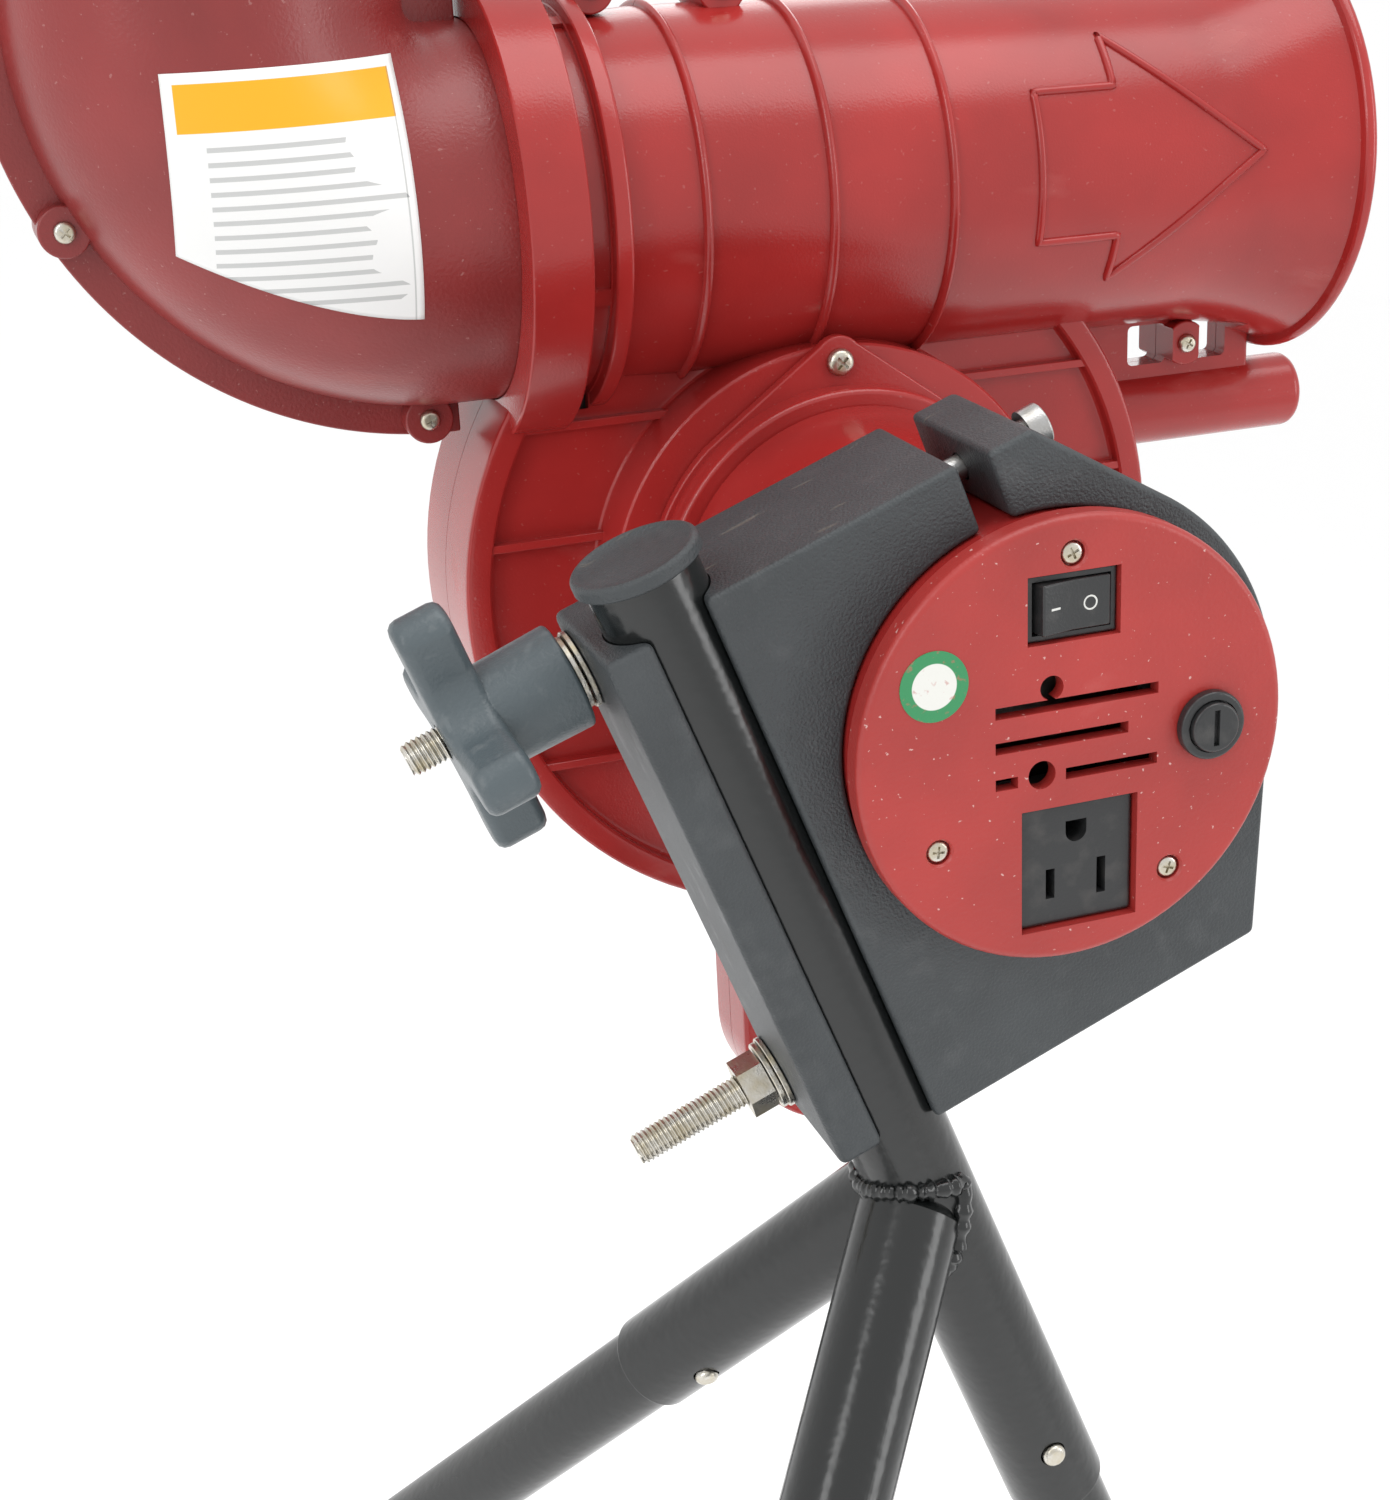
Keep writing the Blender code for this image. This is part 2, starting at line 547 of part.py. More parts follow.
def make_fittings(head):
    x, z, width, height = SWITCH
    front = FITTING_SINK
    low = (x - width / 2, front, z - height / 2)
    high = (x + width / 2, 0.0180, z + height / 2)
    bezel = add("switch_body", brick(low, high), head, material="black_plastic")
    well = brick((x - width / 2 + 0.0014, -0.01, z - height / 2 + 0.0014),
                 (x + width / 2 - 0.0014, 0.0110, z + height / 2 - 0.0014))
    cut(bezel, add("switch_well", well, head))
    pivot = frame("rocker_pivot", head, (x, 0.0062, z))
    half = width / 2 - ROCKER_INSET
    high_end = (half - ROCKER_HIGH * math.sin(ROCKER_TIP)) / math.cos(ROCKER_TIP)
    slope_start = half * math.tan(ROCKER_TIP / 2)
    wedge = [(half, 0.0015), (half, -ROCKER_LOW), (0, -ROCKER_LOW - 0.0001), (-high_end, -ROCKER_HIGH),
             (-half, -slope_start), (-half, 0.0015), (0, 0.0035)]
    rocker_mesh = slab([(u, -v) for u, v in wedge], -height / 2 + ROCKER_INSET, height / 2 - ROCKER_INSET)
    rocker = add("switch_rocker", rocker_mesh, pivot, material="black_plastic")
    rocker.matrix_local = Matrix.Rotation(math.radians(90), 4, "X")
    x, z, width, height = OUTLET
    outlet = add("power_outlet", brick((x - width / 2, front + 0.0004, z - height / 2),
                                       (x + width / 2, 0.0200, z + height / 2)), head, material="black_plastic")
    blade_gap = 0.0127
    for i, (side, tall) in enumerate(((-1, 0.0072), (1, 0.0088))):
        centre = x + side * blade_gap / 2
        mesh = brick((centre - 0.0011, -0.01, z - 0.0045 - tall / 2), (centre + 0.0011, 0.0140, z - 0.0045 + tall / 2))
        cut(outlet, add(f"blade_slot_{i}", mesh, head))
    cut(outlet, add("ground_hole", rod(0.0026, -0.01, 0.0140, COARSE), head, (x, 0, z + 0.0074), "Y"))
    holder = [(FUSE_CAP_R + ROUND_FIT, -0.0026), (FUSE_R - 0.0008, -0.0026), (FUSE_R, -0.0018), (FUSE_R, -FIT),
              (FUSE_STEM_R, -FIT), (FUSE_STEM_R, 0.0240), (0, 0.0240), (0, 0.0006), (FUSE_STEM_R - 0.0012, 0.0006),
              (FUSE_STEM_R - 0.0012, -0.0010), (FUSE_CAP_R + ROUND_FIT, -0.0010)]
    add("fuse_holder", turned(holder, 16), head, (FUSE[0], 0, FUSE[1]), "Y", "black_plastic")
    fuse_axis = frame("fuse_cap_axis", head, (FUSE[0], 0, FUSE[1]))
    cap = [(0, -0.0040), (FUSE_CAP_R - 0.0006, -0.0040), (FUSE_CAP_R, -0.0034), (FUSE_CAP_R, -0.0010 - FIT),
           (FUSE_STEM_R - 0.0012 - ROUND_FIT, -0.0010 - FIT), (FUSE_STEM_R - 0.0012 - ROUND_FIT, 0.0006 - FIT),
           (0, 0.0006 - FIT)]
    fuse_cap = add("fuse_cap", turned(cap, 16), fuse_axis, axis="Y", material="black_plastic")
    slot = brick((-0.0007, -0.01, -0.0042), (0.0007, -0.0028, 0.0042))
    cut(fuse_cap, add("coin_slot", slot, fuse_axis))


COVER_BACK = COVER_FRONT + COVER_DISH + COVER_PLATE


def ear_places():
    return [(EAR_RING * math.cos(math.radians(a)), EAR_RING * math.sin(math.radians(a))) for a in EAR_ANGLES]


def cover_outline():
    """A triangle with round corners: an arc about each ear, joined by straight sides."""
    points = []
    for angle, centre in zip(EAR_ANGLES, ear_places()):
        points += arc(centre, EAR_R, angle - 48, angle + 48, 6)
        points += arc((0, 0), COVER_DISH_R + 0.0015, angle + 42, angle + 78, 4)
    return points


def make_motor(head):
    case = pipe(CASE_R, CASE_R - CASE_WALL, PANEL_THICK + FIT, COVER_FRONT - FIT, FINE)
    add("motor_case", case, head, axis="Y", material="red_plastic")
    dish = rod(COVER_DISH_R, COVER_FRONT, COVER_FRONT + COVER_DISH + 0.001, FINE, 0.0009)
    cover = add("motor_cover", dish, head, axis="Y", material="red_plastic")
    fuse(cover, add("cover_plate", slab(cover_outline(), COVER_BACK - COVER_PLATE, COVER_BACK), head))
    cut(cover, add("cover_shaft_hole", rod(SHAFT_HOLE_R, 0.1, 0.16, 16), head, axis="Y"))
    for i, (x, z) in enumerate(ear_places()):
        hole = rod(SCREW_R + FIT, 0.1, 0.16, COARSE)
        cut(cover, add(f"ear_hole_{i}", hole, head, (x, 0, z), "Y"))
        make_screw(f"cover_screw_{i + 1}", head, (x, COVER_BACK - COVER_PLATE - FIT, z), 0.0120)
    back = COVER_FRONT - FIT
    body = [(0, back - MOTOR_LENGTH), (0.012, back - MOTOR_LENGTH), (0.012, back - MOTOR_LENGTH + 0.006),
            (MOTOR_R - 0.003, back - MOTOR_LENGTH + 0.006), (MOTOR_R, back - MOTOR_LENGTH + 0.009),
            (MOTOR_R, back - MOTOR_FLANGE), (CASE_R - CASE_WALL - 0.002, back - MOTOR_FLANGE),
            (CASE_R - CASE_WALL - 0.002, back), (SHAFT_HOLE_R, back), (SHAFT_HOLE_R, back - 0.010), (0, back - 0.010)]
    add("motor", turned(body, MEDIUM), head, axis="Y", material="steel")
    wheel_axis = frame("wheel_axis", head, (0, WHEEL_Y, 0))
    start = back - 0.010 + FIT - WHEEL_Y
    half = WHEEL_WIDTH / 2
    shaft = [(0, start), (SHAFT_R, start), (SHAFT_R, half + 0.0012), (0, half + 0.0012)]
    add("motor_shaft", turned(shaft, 16), wheel_axis, axis="Y", material="steel")
    hub_r = WHEEL_R - TYRE_THICK
    bore = SHAFT_R + ROUND_FIT
    hub = [(bore, -half), (bore + HUB_BORE_WALL, -half), (bore + HUB_BORE_WALL, -0.004), (hub_r - 0.006, -0.004),
           (hub_r - 0.006, -half), (hub_r, -half), (hub_r, half), (hub_r - 0.006, half), (hub_r - 0.006, 0.004),
           (bore + HUB_BORE_WALL, 0.004), (bore + HUB_BORE_WALL, half - 0.004), (bore, half - 0.004)]
    add("wheel_hub", turned(hub), wheel_axis, axis="Y", material="hub_metal")
    tyre = [(hub_r + FIT, -half), (WHEEL_R - 0.003, -half), (WHEEL_R - 0.0008, -half + 0.0022), (WHEEL_R, -half + 0.006),
            (WHEEL_R, half - 0.006), (WHEEL_R - 0.0008, half - 0.0022), (WHEEL_R - 0.003, half), (hub_r + FIT, half)]
    add("wheel_tyre", turned(tyre, FINE), wheel_axis, axis="Y", material="tyre_rubber")
    nut_low = half - 0.004 + FIT
    nut_high = nut_low + 0.0048
    nut = add("wheel_nut", rod(0.0085, nut_low, nut_high, 6), wheel_axis, axis="Y", material="zinc", smooth=20)
    cut(nut, add("wheel_nut_hole", rod(bore, 0, 0.04, 16), wheel_axis, axis="Y"))


# ------------------------------------------------------------------ body shells
def drum_profile():
    """The wheel drum, spun about the motor's axis: rim, recessed side face, central plinth and cavity."""
    near = WHEEL_Y - DRUM_HALF
    face = near + FACE_STEP
    far = 2 * WHEEL_Y - face
    mouth = 0.0140
    front = COVER_BACK + FIT
    return [(mouth, front), (PLINTH_R - 0.002, front), (PLINTH_R, front + 0.002), (PLINTH_R, face),
            (DRUM_R - RIM_WIDTH, face), (DRUM_R - RIM_WIDTH, near), (DRUM_R - 0.0012, near),
            (DRUM_R, near + 0.0012), (DRUM_R, far + FACE_STEP - 0.0012), (DRUM_R - 0.0012, far + FACE_STEP),
            (DRUM_R - RIM_WIDTH, far + FACE_STEP), (DRUM_R - RIM_WIDTH, far), (PLINTH_R, far),
            (PLINTH_R, far + 0.002), (0, far + 0.002), (0, far - DRUM_WALL),
            (DRUM_R - DRUM_WALL, far - DRUM_WALL), (DRUM_R - DRUM_WALL, face + DRUM_WALL),
            (mouth, face + DRUM_WALL)]


def barrel_profile():
    """The barrel's outside, from the collar at the rear to the rolled muzzle rim."""
    outside = [(0, COLLAR_REAR), (COLLAR_R - 0.001, COLLAR_REAR), (COLLAR_R, COLLAR_REAR + 0.001),
               (COLLAR_R, COLLAR_FRONT - 0.001), (COLLAR_R - 0.001, COLLAR_FRONT), (NECK_R, COLLAR_FRONT),
               (NECK_R, BARREL_REAR), (NECK_R + RING_BAND, BARREL_REAR), (NECK_R + RING_BAND, BARREL_REAR + 0.0045),
               (BARREL_R, BARREL_REAR + 0.0060)]
    for place in RIB_PLACES:
        crest = BARREL_R + RIB_HEIGHT
        outside += [(BARREL_R, place - RIB_WIDTH / 2), (crest, place - RIB_WIDTH / 4),
                    (crest, place + RIB_WIDTH / 4), (BARREL_R, place + RIB_WIDTH / 2)]
    bell = MUZZLE - BELL_START - 0.004
    outside += [(BARREL_R, BELL_START - 0.020)]
    for step in range(1, BELL_STEPS + 1):
        t = step / BELL_STEPS
        outside.append((BARREL_R + (BELL_R - BARREL_R) * t * t, BELL_START - 0.020 + (bell + 0.020) * t))
    outside += [(RIM_R - 0.0008, MUZZLE - 0.0040), (RIM_R, MUZZLE - 0.0028), (RIM_R, MUZZLE - 0.0012),
                (RIM_R - 0.0012, MUZZLE), (0, MUZZLE)]
    return outside


def bore_profile():
    """What is taken out of the barrel: the spigot's seat, the bore and the belled muzzle."""
    seat = ELBOW_TUBE_R + ROUND_FIT
    inside = [(0, COLLAR_REAR - 0.01), (seat, COLLAR_REAR - 0.01), (seat, SPIGOT_END + FIT), (BORE_R, SPIGOT_END + FIT),
              (BORE_R, BELL_START - 0.020)]
    wall = BARREL_R - BORE_R
    for step in range(1, BELL_STEPS + 1):
        t = step / BELL_STEPS
        inside.append((BORE_R + (BELL_R - wall - BORE_R + 0.001) * t * t, BELL_START - 0.020 + (MUZZLE - BELL_START + 0.017) * t))
    inside += [(BELL_R - wall + 0.001, MUZZLE + 0.01), (0, MUZZLE + 0.01)]
    return inside


def tongue(radius, top):
    """The drum's lower tongue: a round end below, straight sides up into the drum."""
    return arc((LOBE_X, LOBE_Z), radius, -180, 0, 16) + [(LOBE_X + radius, top), (LOBE_X - radius, top)]


def side_ribs():
    """The straight ribs across a side face: (z, from x, to x), ended inside the rim and the plinth."""
    ribs = []
    for z in (0.0475, 0.0170, -0.0460):
        reach = math.sqrt((DRUM_R - RIM_WIDTH / 2) ** 2 - z * z)
        inner = math.sqrt(max((PLINTH_R - 0.002) ** 2 - z * z, 0.0001))
        ribs += [(z, -reach, -inner), (z, inner, reach)]
    return ribs


def shell_tools(head, near):
    """Everything that is added to or taken from one body shell, as hidden solids."""
    tag = "near" if near else "far"
    side_y = WHEEL_Y - DRUM_HALF if near else WHEEL_Y + DRUM_HALF
    inward = 1 if near else -1
    added = []
    lobe = slab(tongue(LOBE_R, -0.080), WHEEL_Y - LOBE_HALF, WHEEL_Y + LOBE_HALF)
    lobe_hollow = slab(tongue(LOBE_R - DRUM_WALL, -0.090), WHEEL_Y - LOBE_HALF + DRUM_WALL,
                       WHEEL_Y + LOBE_HALF - DRUM_WALL)
    added.append(add(f"{tag}_tongue", lobe, head))
    handle = rod(HANDLE_R, 0.0960, HANDLE_END, 16, 0.0015)
    added.append(add(f"{tag}_handle", handle, head, (0, WHEEL_Y, HANDLE_Z), "X"))
    web = brick((0.0800, WHEEL_Y - WEB_THICK / 2, HANDLE_Z), (0.1440, WHEEL_Y + WEB_THICK / 2, BARREL_Z - BORE_R - 0.0015))
    added.append(add(f"{tag}_web", web, head))
    for i, (z, left, right) in enumerate(side_ribs()):
        ends = sorted((side_y + inward * 0.0008, side_y + inward * (FACE_STEP + 0.001)))
        mesh = brick((left, ends[0], z - 0.0011), (right, ends[1], z + 0.0011))
        added.append(add(f"{tag}_side_rib_{i}", mesh, head))
    for i, (x, z, half) in enumerate(shell_screw_places()):
        added.append(add(f"{tag}_boss_{i}", rod(BOSS_R, WHEEL_Y - half, WHEEL_Y + half, 12), head, (x, 0, z), "Y"))
    taken = [add(f"{tag}_tongue_hollow", lobe_hollow, head)]
    for i, (left, right) in enumerate(WINDOWS):
        mesh = brick((left, WHEEL_Y - 0.05, WINDOW_LOW), (right, WHEEL_Y + 0.05, WINDOW_HIGH))
        taken.append(add(f"{tag}_window_{i}", mesh, head))
    return added, taken


def shell_screw_places():
    """Each shell screw's x and z, and half the length of the bosses that it draws together."""
    top = BARREL_Z + BARREL_R + 0.0035
    return ((-0.0520, top + 0.0020, 0.0100), (-0.0170, top, 0.0100), (0.1203, 0.0465, 0.0100),
            (LOBE_X, LOBE_Z - 0.0180, LOBE_HALF + 0.0010))


def make_shells(head):
    tabs = (20, 110, 200, 290)
    for near in (True, False):
        tag = "near" if near else "far"
        drum = add(f"{tag}_shell", turned(drum_profile(), FINE), head, axis="Y", material="red_plastic")
        barrel = add(f"{tag}_barrel", turned(barrel_profile(), FINE), head, (0, WHEEL_Y, BARREL_Z), "X")
        bore = add(f"{tag}_bore", turned(bore_profile(), FINE), head, (0, WHEEL_Y, BARREL_Z), "X")
        wheel_half = WHEEL_WIDTH / 2 + 0.0018
        throat = rod(WHEEL_R + WHEEL_CLEARANCE, WHEEL_Y - wheel_half, WHEEL_Y + wheel_half, FINE)
        throat = add(f"{tag}_wheel_throat", throat, head, axis="Y")
        added, taken = shell_tools(head, near)
        fuse(drum, barrel, *added)
        cut(drum, bore, throat, *taken)
        for i, angle in enumerate(tabs):
            start, end = angle + 2.5, angle + 87.5
            gap = ring_sector(NECK_R - 0.0012, NECK_R + 0.02, COLLAR_FRONT + 0.0022, BARREL_REAR - 0.0004, start, end)
            cut(drum, add(f"{tag}_neck_gap_{i}", gap, head, (0, WHEEL_Y, BARREL_Z), "X"))
        for i, (x, z, half) in enumerate(shell_screw_places()):
            hole = rod(SCREW_R + FIT, WHEEL_Y - half - 0.001, WHEEL_Y + half - 0.002, COARSE)
            cut(drum, add(f"{tag}_screw_hole_{i}", hole, head, (x, 0, z), "Y"))
        for i, (x, z) in enumerate(ear_places()):
            hole = rod(SCREW_R + FIT, COVER_BACK - 0.01, COVER_BACK + 0.0105, COARSE)
            if near:
                cut(drum, add(f"plinth_hole_{i}", hole, head, (x, 0, z), "Y"))
        split = FIT / 2
        if near:
            beyond = brick((-0.4, WHEEL_Y - split, -0.4), (0.4, WHEEL_Y + 0.2, 0.4))
        else:
            beyond = brick((-0.4, WHEEL_Y - 0.2, -0.4), (0.4, WHEEL_Y + split, 0.4))
        cut(drum, add(f"{tag}_other_half", beyond, head))
    for i, (x, z, half) in enumerate(shell_screw_places()):
        make_screw(f"shell_screw_{i + 1}", head, (x, WHEEL_Y - half - FIT, z), 2 * half - 0.0035)


def ring_sector(inner, outer, low, high, start, end, steps=6):
    """Part of a ring about Z, between two angles in degrees."""
    mesh = bmesh.new()
    outline = arc((0, 0), outer, start, end, steps) + arc((0, 0), inner, end, start, steps)
    face = mesh.faces.new([mesh.verts.new((x, y, low)) for x, y in outline])
    grown = bmesh.ops.extrude_face_region(mesh, geom=[face])["geom"]
    moved = [item for item in grown if isinstance(item, bmesh.types.BMVert)]
    bmesh.ops.translate(mesh, verts=moved, vec=(0, 0, high - low))
    return mesh


# ------------------------------------------------------------------ feed elbow
ELBOW_CENTRE_Z = BARREL_Z + ELBOW_R


def swept_round(radius, rear_low, top, steps=9, sides=30):
    """A round bar: along the barrel's axis, round the bend, then straight up to top."""
    rings = []
    stations = [("run", rear_low)]
    stations += [("bend", 90 * i / steps) for i in range(steps + 1)]
    stations.append(("rise", top))
    mesh = bmesh.new()
    for kind, value in stations:
        if kind == "run":
            centre, tilt = Vector((value, 0, BARREL_Z)), 0
        elif kind == "bend":
            tilt = math.radians(value)
            centre = Vector((ELBOW_TURN_X - ELBOW_R * math.sin(tilt), 0, ELBOW_CENTRE_Z - ELBOW_R * math.cos(tilt)))
        else:
            centre, tilt = Vector((ELBOW_TURN_X - ELBOW_R, 0, value)), math.pi / 2
        outward = Vector((-math.sin(tilt), 0, -math.cos(tilt)))
        ring = []
        for side in range(sides):
            a = 2 * math.pi * (side + 0.5) / sides
            ring.append(mesh.verts.new(centre + outward * radius * math.cos(a) + Vector((0, radius * math.sin(a), 0))))
        rings.append(ring)
    for first, second in zip(rings, rings[1:]):
        for i in range(sides):
            mesh.faces.new((first[i - 1], first[i], second[i], second[i - 1]))
    mesh.faces.new(rings[0])
    mesh.faces.new(rings[-1][::-1])
    return mesh


def flange_outline():
    """The elbow's parting flange, seen from the side: along the belly, round the bend and up the back."""
    outer = ELBOW_R + ELBOW_TUBE_R + FLANGE_HEIGHT
    inner = ELBOW_R + ELBOW_TUBE_R - 0.0020
    centre = (ELBOW_TURN_X, ELBOW_CENTRE_Z)
    back = ELBOW_TOP - MOUTH_BAND
    start = FLANGE_START
    outline = [(start, centre[1] - outer)]
    outline += arc(centre, outer, -90, -180, 14)
    outline += [(centre[0] - outer, back), (centre[0] - inner, back)]
    outline += arc(centre, inner, -180, -90, 14)
    outline.append((start, centre[1] - inner))
    return outline


def inner_flange_outline():
    """The flange inside the bend: up the front of the riser and along the top of the run."""
    side = ELBOW_TURN_X - ELBOW_R + ELBOW_TUBE_R
    crown = BARREL_Z + ELBOW_TUBE_R
    back = ELBOW_TOP - MOUTH_BAND
    start = COLLAR_REAR - 0.0012
    return [(side - 0.002, crown - 0.002), (start, crown - 0.002), (start, crown + 0.006), (side + 0.012, crown + 0.006),
            (side + 0.006, crown + 0.012), (side + 0.006, back), (side - 0.002, back)]


def elbow_screw_places():
    centre = (ELBOW_TURN_X, ELBOW_CENTRE_Z)
    reach = ELBOW_R + ELBOW_TUBE_R + 0.0030
    side = ELBOW_TURN_X - ELBOW_R + ELBOW_TUBE_R + 0.0060
    rim = ELBOW_TOP - 0.026
    places = [(centre[0] + reach * math.cos(math.radians(a)), centre[1] + reach * math.sin(math.radians(a)))
              for a in (-94, -153)]
    return [*places, (centre[0] - reach, rim), (side, rim)]


def make_elbow(head):
    for near in (True, False):
        tag = "near" if near else "far"
        outer = swept_round(ELBOW_TUBE_R, SPIGOT_END, ELBOW_TOP)
        elbow = add(f"{tag}_elbow", outer, head, (0, WHEEL_Y, 0), material="red_plastic")
        flange = slab(flange_outline(), -FLANGE_HALF, FLANGE_HALF)
        inner = slab(inner_flange_outline(), -FLANGE_HALF, FLANGE_HALF)
        mouth = turned([(0, ELBOW_TOP - MOUTH_BAND), (MOUTH_R, ELBOW_TOP - MOUTH_BAND), (MOUTH_R, ELBOW_TOP - 0.001),
                        (MOUTH_R - 0.001, ELBOW_TOP), (0, ELBOW_TOP)], FINE)
        riser_x = ELBOW_TURN_X - ELBOW_R
        fuse(elbow, add(f"{tag}_elbow_flange", flange, head, (0, WHEEL_Y, 0)),
             add(f"{tag}_elbow_inner_flange", inner, head, (0, WHEEL_Y, 0)),
             add(f"{tag}_mouth_band", mouth, head, (riser_x, WHEEL_Y, 0)))
        for i, (x, z) in enumerate(elbow_screw_places()):
            fuse(elbow, add(f"{tag}_elbow_boss_{i}", rod(BOSS_R, WHEEL_Y - 0.009, WHEEL_Y + 0.009, 12), head, (x, 0, z), "Y"))
        bore = swept_round(ELBOW_BORE_R, SPIGOT_END + 0.02, ELBOW_TOP + 0.02)
        cut(elbow, add(f"{tag}_elbow_bore", bore, head, (0, WHEEL_Y, 0)))
        for i, (x, z) in enumerate(elbow_screw_places()):
            hole = rod(SCREW_R + FIT, WHEEL_Y - 0.011, WHEEL_Y + 0.0070, COARSE)
            cut(elbow, add(f"{tag}_elbow_screw_hole_{i}", hole, head, (x, 0, z), "Y"))
        split = FIT / 2
        if near:
            half = brick((-0.5, WHEEL_Y - split, -0.1), (0.1, WHEEL_Y + 0.2, 0.5))
        else:
            half = brick((-0.5, WHEEL_Y - 0.2, -0.1), (0.1, WHEEL_Y + split, 0.5))
        cut(elbow, add(f"{tag}_elbow_other_half", half, head))
    for i, (x, z) in enumerate(elbow_screw_places()):
        make_screw(f"elbow_screw_{i + 1}", head, (x, WHEEL_Y - 0.009 - FIT, z), 0.0145)


# ------------------------------------------------------------------ assembly
def settle(root):
    """Slide everything so that the origin is the middle of the bounding box's bottom face."""
    bpy.context.view_layer.update()
    graph = bpy.context.evaluated_depsgraph_get()
    corners = []
    for obj in bpy.context.view_layer.objects:
        if obj.type == "MESH" and not obj.hide_render:
            solid = obj.evaluated_get(graph)
            corners += [solid.matrix_world @ vertex.co for vertex in solid.data.vertices]
    low = [min(corner[i] for corner in corners) for i in range(3)]
    high = [max(corner[i] for corner in corners) for i in range(3)]
    root.location = (-(low[0] + high[0]) / 2, -(low[1] + high[1]) / 2, -low[2])
    bpy.context.view_layer.update()


clear_scene()
MATERIALS = {name: make_material(name) for name in COLOURS}
machine = frame("pitching_machine")
post_axis = make_tripod(machine)
clamp_frame = frame("clamp_frame", post_axis, (-POST_X, -POST_Y, APEX_BELOW))
make_clamp(clamp_frame)
head_frame = frame("head_frame", clamp_frame, turn=Matrix.Rotation(HEAD_TURN, 3, "Y"))
make_panel(head_frame)
make_fittings(head_frame)
make_motor(head_frame)
make_shells(head_frame)
make_elbow(head_frame)
settle(machine)
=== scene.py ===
"""Looks of a one-wheel baseball pitching machine: a throwing head clamped to a leaning tripod post."""
import json
import math

import bmesh
import bpy
from mathutils import Matrix, Vector, noise


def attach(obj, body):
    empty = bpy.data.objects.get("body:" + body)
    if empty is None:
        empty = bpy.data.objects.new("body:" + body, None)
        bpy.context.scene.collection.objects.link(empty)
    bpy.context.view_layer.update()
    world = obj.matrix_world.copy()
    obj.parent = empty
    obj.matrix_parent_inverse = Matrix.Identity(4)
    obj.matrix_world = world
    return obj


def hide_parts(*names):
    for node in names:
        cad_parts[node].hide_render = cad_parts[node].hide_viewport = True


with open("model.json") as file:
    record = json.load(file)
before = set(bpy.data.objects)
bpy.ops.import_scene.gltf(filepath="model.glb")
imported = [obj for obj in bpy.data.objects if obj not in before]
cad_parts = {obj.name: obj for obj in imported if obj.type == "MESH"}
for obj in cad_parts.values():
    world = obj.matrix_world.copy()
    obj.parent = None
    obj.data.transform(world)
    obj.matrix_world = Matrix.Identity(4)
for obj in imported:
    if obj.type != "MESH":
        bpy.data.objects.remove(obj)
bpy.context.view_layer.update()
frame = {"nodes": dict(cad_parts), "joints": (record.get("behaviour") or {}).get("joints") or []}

# ---------------- where the machine's axes lie
# The post leans back and carries the clamp; the head sits in the clamp's ring and points the barrel.
# Each set of axes has Y across the machine, away from the switch panel. All come from the joints.
JOINTS = {joint["name"]: joint for joint in frame["joints"]}


def placed(origin, along, across, up):
    return Matrix.Translation(origin) @ Matrix((along, across, up)).transposed().to_4x4()


def axes(origin, up):
    up = Vector(up).normalized()
    along = Vector((0, 1, 0)).cross(up).normalized()
    return placed(origin, along, up.cross(along), up)


HEAD = axes(JOINTS["head_tilt"]["pos_m"], JOINTS["rocker_tip"]["axis"])
CLAMP = axes(JOINTS["head_tilt"]["pos_m"], JOINTS["clamp_swivel"]["axis"])
POST = axes(JOINTS["clamp_swivel"]["pos_m"], JOINTS["clamp_swivel"]["axis"])
SHAPE_Y = Matrix.Rotation(math.radians(-90), 4, "X")     # a turned shape laid along Y
SHAPE_X = Matrix.Rotation(math.radians(90), 4, "Y")      # a turned shape laid along X


def shift(x, y, z):
    return Matrix.Translation((x, y, z))


# ---------------- camera
# A short telephoto a little above the panel, turned and rolled as one set up by hand is.
# Its place and its two directions are given in the head's axes.
EYE = Vector((-0.2247, -0.429, 0.1876))
SIGHT = Vector((0.3047, 0.883, -0.3571))
RIGHT = Vector((0.9391, -0.341, -0.0418))
camera_data = bpy.data.cameras.new("camera")
camera_data.sensor_width = 36
camera_data.lens = 56.38
camera_data.shift_x = -0.0329
camera_data.shift_y = -0.0076
camera_data.clip_start = 0.01
camera = bpy.data.objects.new("camera", camera_data)
bpy.context.collection.objects.link(camera)
back = -(HEAD.to_3x3() @ SIGHT).normalized()
right = (HEAD.to_3x3() @ RIGHT).normalized()
up = back.cross(right).normalized()
camera.matrix_world = placed(HEAD @ EYE, up.cross(back), up, back)
bpy.context.scene.camera = camera
bpy.context.scene.view_settings.view_transform = "Standard"

# ---------------- studio
# White all round for the eye and for reflections, with a softer light on the object itself: a large soft box
# overhead, one at each side and one behind, over a pale floor that takes the shadow.
WORLD_LIGHT = 0.97
world = bpy.data.worlds.new("studio")
bpy.context.scene.world = world
world.use_nodes = True
tree = world.node_tree
rays = tree.nodes.new("ShaderNodeLightPath")
bright = tree.nodes.new("ShaderNodeMath")
bright.operation = "MAXIMUM"
tree.links.new(rays.outputs["Is Camera Ray"], bright.inputs[0])
tree.links.new(rays.outputs["Is Transmission Ray"], bright.inputs[1])
level = tree.nodes.new("ShaderNodeMapRange")
level.inputs["To Min"].default_value = WORLD_LIGHT
level.inputs["To Max"].default_value = 1.0
tree.links.new(bright.outputs[0], level.inputs["Value"])
tree.links.new(level.outputs[0], tree.nodes["Background"].inputs["Strength"])
tree.nodes["Background"].inputs["Color"].default_value = (1, 1, 1, 1)


